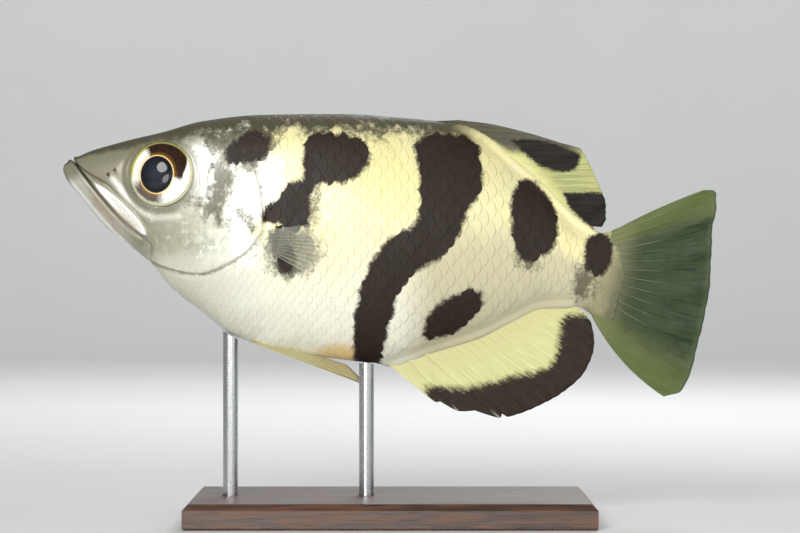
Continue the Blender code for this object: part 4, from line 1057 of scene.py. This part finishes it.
anal_finish, w, give, ridge, out, span, cloud, streak = fin_finish("anal fin", 1.5)
colour = (ridge * 0.35 + streak + 0.35).held().mix(tone(180, 181, 124), tone(216, 215, 156))
colour = (1 - (out + cloud * 0.25).step(0.06, 0.42)).mix(colour, tone(192, 189, 136))
ink = (w.data("deep") + w.noise(2.0) * 1.8 + w.noise(0.45) * 1.4 + streak * 3.0).step(-1.1, 0.8)
colour = ink.mix(colour, (ridge * 0.2 + 0.3 + cloud).held().mix(tone(28, 20, 13), tone(56, 45, 32)))
colour = (w.data("spiny") * ridge * out.step(0.86, 1.0) * 0.7).mix(colour, tone(206, 202, 184))
give(Base_Color=colour, Roughness=0.45 + cloud * 0.2 + ink * 0.1, Coat_Weight=(1 - ink) * 0.2,
     Normal=ray_bump(w, ridge, out))
anal = make_fin("anal_membrane", ANAL, spines=3, root_half=0.6, notch=1.5, ruffle=0.22, outlines=ANAL_MARGIN)
dress(anal, anal_finish, "fin", "anal_fin")


# Tail fin: sixteen forked rays fan out of the scaly base of the tail. The fin is grey green, pale along the ray
# roots, and yellowish at its upper and lower edges.

# Ray number, tip X and tip Z; the roots lie on the leaning line between the two heights of CAUDAL_ROOT.
CAUDAL_EDGE = ((0, 62.6, 66.0), (0.5, 64.4, 66.0), (1, 65.2, 65.2), (2, 65.2, 62.6), (4, 64.4, 58.2),
               (6, 64.2, 53.0), (8, 63.9, 47.0), (10, 62.8, 40.6), (12, 61.4, 34.8), (14, 59.8, 28.8),
               (15, 57.8, 25.5), (16, 54.6, 24.7))
CAUDAL_ROOT, CAUDAL_ROOT_X = (57.7, 41.3), 42.3
caudal_rays = []
for ray, edge_x, edge_z in CAUDAL_EDGE:
    root_z = CAUDAL_ROOT[0] + (CAUDAL_ROOT[1] - CAUDAL_ROOT[0]) * ray / CAUDAL_EDGE[-1][0]
    caudal_rays.append((ray, CAUDAL_ROOT_X + TAIL_LEAN * (root_z - TAIL_MIDDLE), root_z, edge_x, edge_z))
caudal_finish, w, give, ridge, out, span, cloud, streak = fin_finish("tail fin", 2.0, 0.5, Coat_Weight=0.15)
wide = streaks(w, span, out, 2.2)
colour = (cloud * 0.8 + streak * 0.9 + 0.5).held().mix(tone(28, 40, 18), tone(57, 73, 39))
colour = ((wide + streak * 0.6).step(0.02, 0.20) * out.step(0.35, 0.70) * 0.7).mix(colour, tone(22, 30, 19))
pale_rays = (ridge * 0.6 + streak * 1.6).step(0.30, 0.75) * (1 - out.step(0.22, 0.75))
colour = (pale_rays * 0.5).mix(colour, tone(130, 136, 102))
colour = ((1 - (out + streak * 0.3 + cloud * 0.10).step(0.03, 0.36)) * 0.9).mix(colour, tone(120, 117, 87))
border = (1 - (span + cloud * 0.04).step(0.06, 0.24)) + (span + cloud * 0.04).step(0.76, 0.94)
colour = (border * 0.6).mix(colour, tone(100, 110, 56))
colour = (out.step(0.93, 1.0) * 0.35).mix(colour, tone(92, 106, 78))
give(Base_Color=colour, Roughness=0.46 + cloud * 0.2, Normal=ray_bump(w, ridge, out))
caudal = make_fin("tail_membrane", caudal_rays, bow=(0.4, -1.5), sink=0.0, ruffle=0.30, fork=0.25)
dress(caudal, caudal_finish, "tail_fin", "caudal_fin")


# Paired fins: clear pectoral fins behind the gill covers, and pelvic fins folded back under the belly, each
# behind one spine. Both sides are alike.

PECTORAL = ((0, -24.7, 57.8, 0.0, 61.0), (3, -24.6, 56.8, -1.8, 58.0), (6, -24.5, 55.8, -5.8, 54.4),
            (9, -24.4, 54.8, -10.6, 51.2), (12, -24.3, 53.8, -15.6, 48.9))
PELVIC = ((0, -25.9, 34.9, -6.2, 27.6), (1, -25.5, 35.1, -6.3, 28.3), (3, -24.5, 35.5, -7.3, 29.6),
          (5, -23.6, 35.9, -8.8, 31.0))


def pectoral_middle(side):
    def middle(x, z):
        back = x - PECTORAL[0][1]
        return side * (9.3 + 2.6 * (1 - np.exp(-np.maximum(back, -3.0) / 5.0)) + 0.06 * back)
    return middle


def pelvic_middle(side):
    def middle(x, z):
        back = (x - PELVIC[0][1]) / 19.0
        return side * (2.6 + 1.8 * back - 1.1 * (z - (35.0 - 7.0 * back)))
    return middle


pectoral_finish, w, give = finish_of("pectoral fin", Coat_Weight=0.3, Coat_Roughness=0.2)
ridge, out = w.data("ridge"), w.data("out")
colour = (out + w.noise(1.5) * 0.3).step(0.25, 0.55).mix(tone(112, 114, 104), tone(228, 226, 196))
give(Base_Color=(ridge * 0.35).mix(colour, tone(236, 234, 214)), Roughness=0.35 + w.noise(1.0) * 0.15,
     Normal=ray_bump(w, ridge, out), Alpha=(0.06 + ridge * 0.10 + (1 - out.step(0.02, 0.46)) * 0.34).held())
pelvic_finish, w, give = finish_of("pelvic fin", Coat_Weight=0.2, Coat_Roughness=0.25)
ridge, out = w.data("ridge"), w.data("out")
colour = (ridge + w.noise(1.0) * 0.4).held().mix(tone(134, 127, 89), tone(174, 167, 124))
colour = (out.step(0.45, 0.95) * (1 - ridge) * 0.6).mix(colour, tone(112, 84, 56))
give(Base_Color=colour, Roughness=0.40 + w.noise(1.0) * 0.15, Normal=ray_bump(w, ridge, out))
for label, side in (("left", -1), ("right", 1)):
    pectoral = make_fin("pectoral_membrane_" + label, PECTORAL, edge_half=0.08, rise=0.14,
                        middle=pectoral_middle(side), fork=0.3)
    dress(pectoral, pectoral_finish, "clear_fin", "pectoral_fin_" + label)
    pelvic = make_fin("pelvic_membrane_" + label, PELVIC, spines=1, edge_half=0.09, rise=0.16,
                      middle=pelvic_middle(side))
    dress(pelvic, pelvic_finish, "fin", "pelvic_fin_" + label)


# Stand: a dark-stained hardwood base with a bevelled top edge, and two brushed steel rods that are glued into
# blind holes in it.

wood_finish, w, give = finish_of("stained wood", Coat_Weight=0.25, Coat_Roughness=0.3)
stretch = w.node("ShaderNodeMapping", sockets={"Vector": w.place(), "Scale": (0.10, 1.0, 1.0)})
bands = w.noise(3.0, detail=2.0, at=stretch)
rings_of_wood = ((bands * 26.0).sine() * 0.5 + 0.5).held()
pores = w.node("ShaderNodeMapping", sockets={"Vector": w.place(), "Scale": (0.05, 1.0, 1.0)})
pore = w.noise(0.35, detail=2.0, at=pores)
colour = rings_of_wood.mix(tone(58, 36, 24), tone(88, 56, 36))
colour = (pore.step(0.06, 0.16) * 0.6).mix(colour, tone(30, 18, 12))
texture = w.node("ShaderNodeBump", sockets={"Strength": 0.4, "Distance": 0.08 * MM,
                                            "Height": rings_of_wood * 0.3 - pore.step(0.06, 0.16)})
give(Base_Color=colour, Roughness=0.36 + rings_of_wood * 0.12, Normal=texture)
steel_finish, w, give = finish_of("brushed steel", Metallic=1.0)
brushing = w.node("ShaderNodeMapping", sockets={"Vector": w.place(), "Scale": (1.0, 1.0, 12.0)})
brushed = w.noise(0.8, detail=4.0, at=brushing)
give(Base_Color=(brushed + 0.5).held().mix(tone(168, 170, 172), tone(204, 205, 206)),
     Roughness=0.26 + brushed * 0.22,
     Normal=w.node("ShaderNodeBump", sockets={"Strength": 0.15, "Distance": 0.02 * MM, "Height": brushed}))
for node, finish in (("stand_base", wood_finish), ("stand_rod_front", steel_finish),
                     ("stand_rod_rear", steel_finish)):
    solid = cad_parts[node]
    solid.data.materials.clear()
    solid.data.materials.append(finish)


# Stage: a plain pale floor that turns up into a low wall all round, soft lights, and a long lens at the fish's
# height. The picture is framed as the photograph is.

FLOOR_REACH, SWEEP, WALL_TOP, FLOOR_SIDES, SWEEP_STEPS = 950.0, 350.0, 520.0, 96, 16
profile = [(0.01, 0.0), (FLOOR_REACH, 0.0)]
profile += [(FLOOR_REACH + SWEEP * math.sin(a), SWEEP - SWEEP * math.cos(a))
            for a in np.linspace(0, math.pi / 2, SWEEP_STEPS)[1:]]
profile += [(FLOOR_REACH + SWEEP, WALL_TOP)]
stage_places = [(reach * math.cos(turn), reach * math.sin(turn), height)
                for turn in np.arange(FLOOR_SIDES) * 2 * math.pi / FLOOR_SIDES for reach, height in profile]
count = len(profile)
stage = make_mesh("floor", stage_places, [
    [side * count + i, side * count + i + 1, (side + 1) % FLOOR_SIDES * count + i + 1,
     (side + 1) % FLOOR_SIDES * count + i] for side in range(FLOOR_SIDES) for i in range(count - 1)])
floor_finish, w, give = finish_of("pale floor", Roughness=0.75)
give(Base_Color=(w.noise(160.0) + 0.5).held().mix(tone(206, 207, 206), tone(213, 214, 213)))
stage.data.materials.append(floor_finish)


def lamp(name, place, aim, size, power, tint=(1, 1, 1)):
    """A round soft lamp, in millimetres and watts."""
    light = bpy.data.lights.new(name, "AREA")
    light.shape, light.size, light.energy, light.color = "DISK", size * MM, power, tint
    made = bpy.data.objects.new(name, light)
    made.location = Vector(place) * MM
    made.rotation_euler = (Vector(aim) - Vector(place)).to_track_quat("-Z", "Y").to_euler()
    bpy.context.scene.collection.objects.link(made)


FISH_MIDDLE = (0.0, 0.0, 52.0)
lamp("key light", (-200.0, -520.0, 330.0), FISH_MIDDLE, 240.0, 2.45, (1.0, 0.985, 0.96))
lamp("fill light", (380.0, -480.0, 120.0), FISH_MIDDLE, 420.0, 0.6, (0.96, 0.98, 1.0))
lamp("low light", (-60.0, -560.0, 40.0), FISH_MIDDLE, 260.0, 1.6, (1.0, 0.99, 0.97))
lamp("back light", (140.0, 420.0, 420.0), FISH_MIDDLE, 300.0, 1.7)
lamp("wall light", (0.0, 420.0, 700.0), (0.0, 1300.0, 180.0), 500.0, 4.4)
lamp("front wall light", (0.0, -700.0, 700.0), (0.0, -1300.0, 180.0), 500.0, 3.0)
world = bpy.data.worlds.new("room")
world.use_nodes = True
world.node_tree.nodes["Background"].inputs["Color"].default_value = (0.93, 0.95, 1.0, 1.0)
world.node_tree.nodes["Background"].inputs["Strength"].default_value = 0.32
bpy.context.scene.world = world
bpy.context.scene.view_settings.view_transform = "Standard"

PHOTO_WIDTH, PHOTO_MIDDLE = 160.0, (1.9, 50.7)            # what the picture spans in the fish's middle plane
FOCAL_LENGTH, SENSOR_WIDTH = 120.0, 36.0
lens = bpy.data.cameras.new("camera")
lens.lens, lens.sensor_width, lens.clip_start, lens.clip_end = FOCAL_LENGTH, SENSOR_WIDTH, 0.01, 20.0
camera = bpy.data.objects.new("camera", lens)
camera.location = Vector((PHOTO_MIDDLE[0], -PHOTO_WIDTH * FOCAL_LENGTH / SENSOR_WIDTH, PHOTO_MIDDLE[1])) * MM
camera.rotation_euler = (math.pi / 2, 0.0, 0.0)
bpy.context.scene.collection.objects.link(camera)
bpy.context.scene.camera = camera
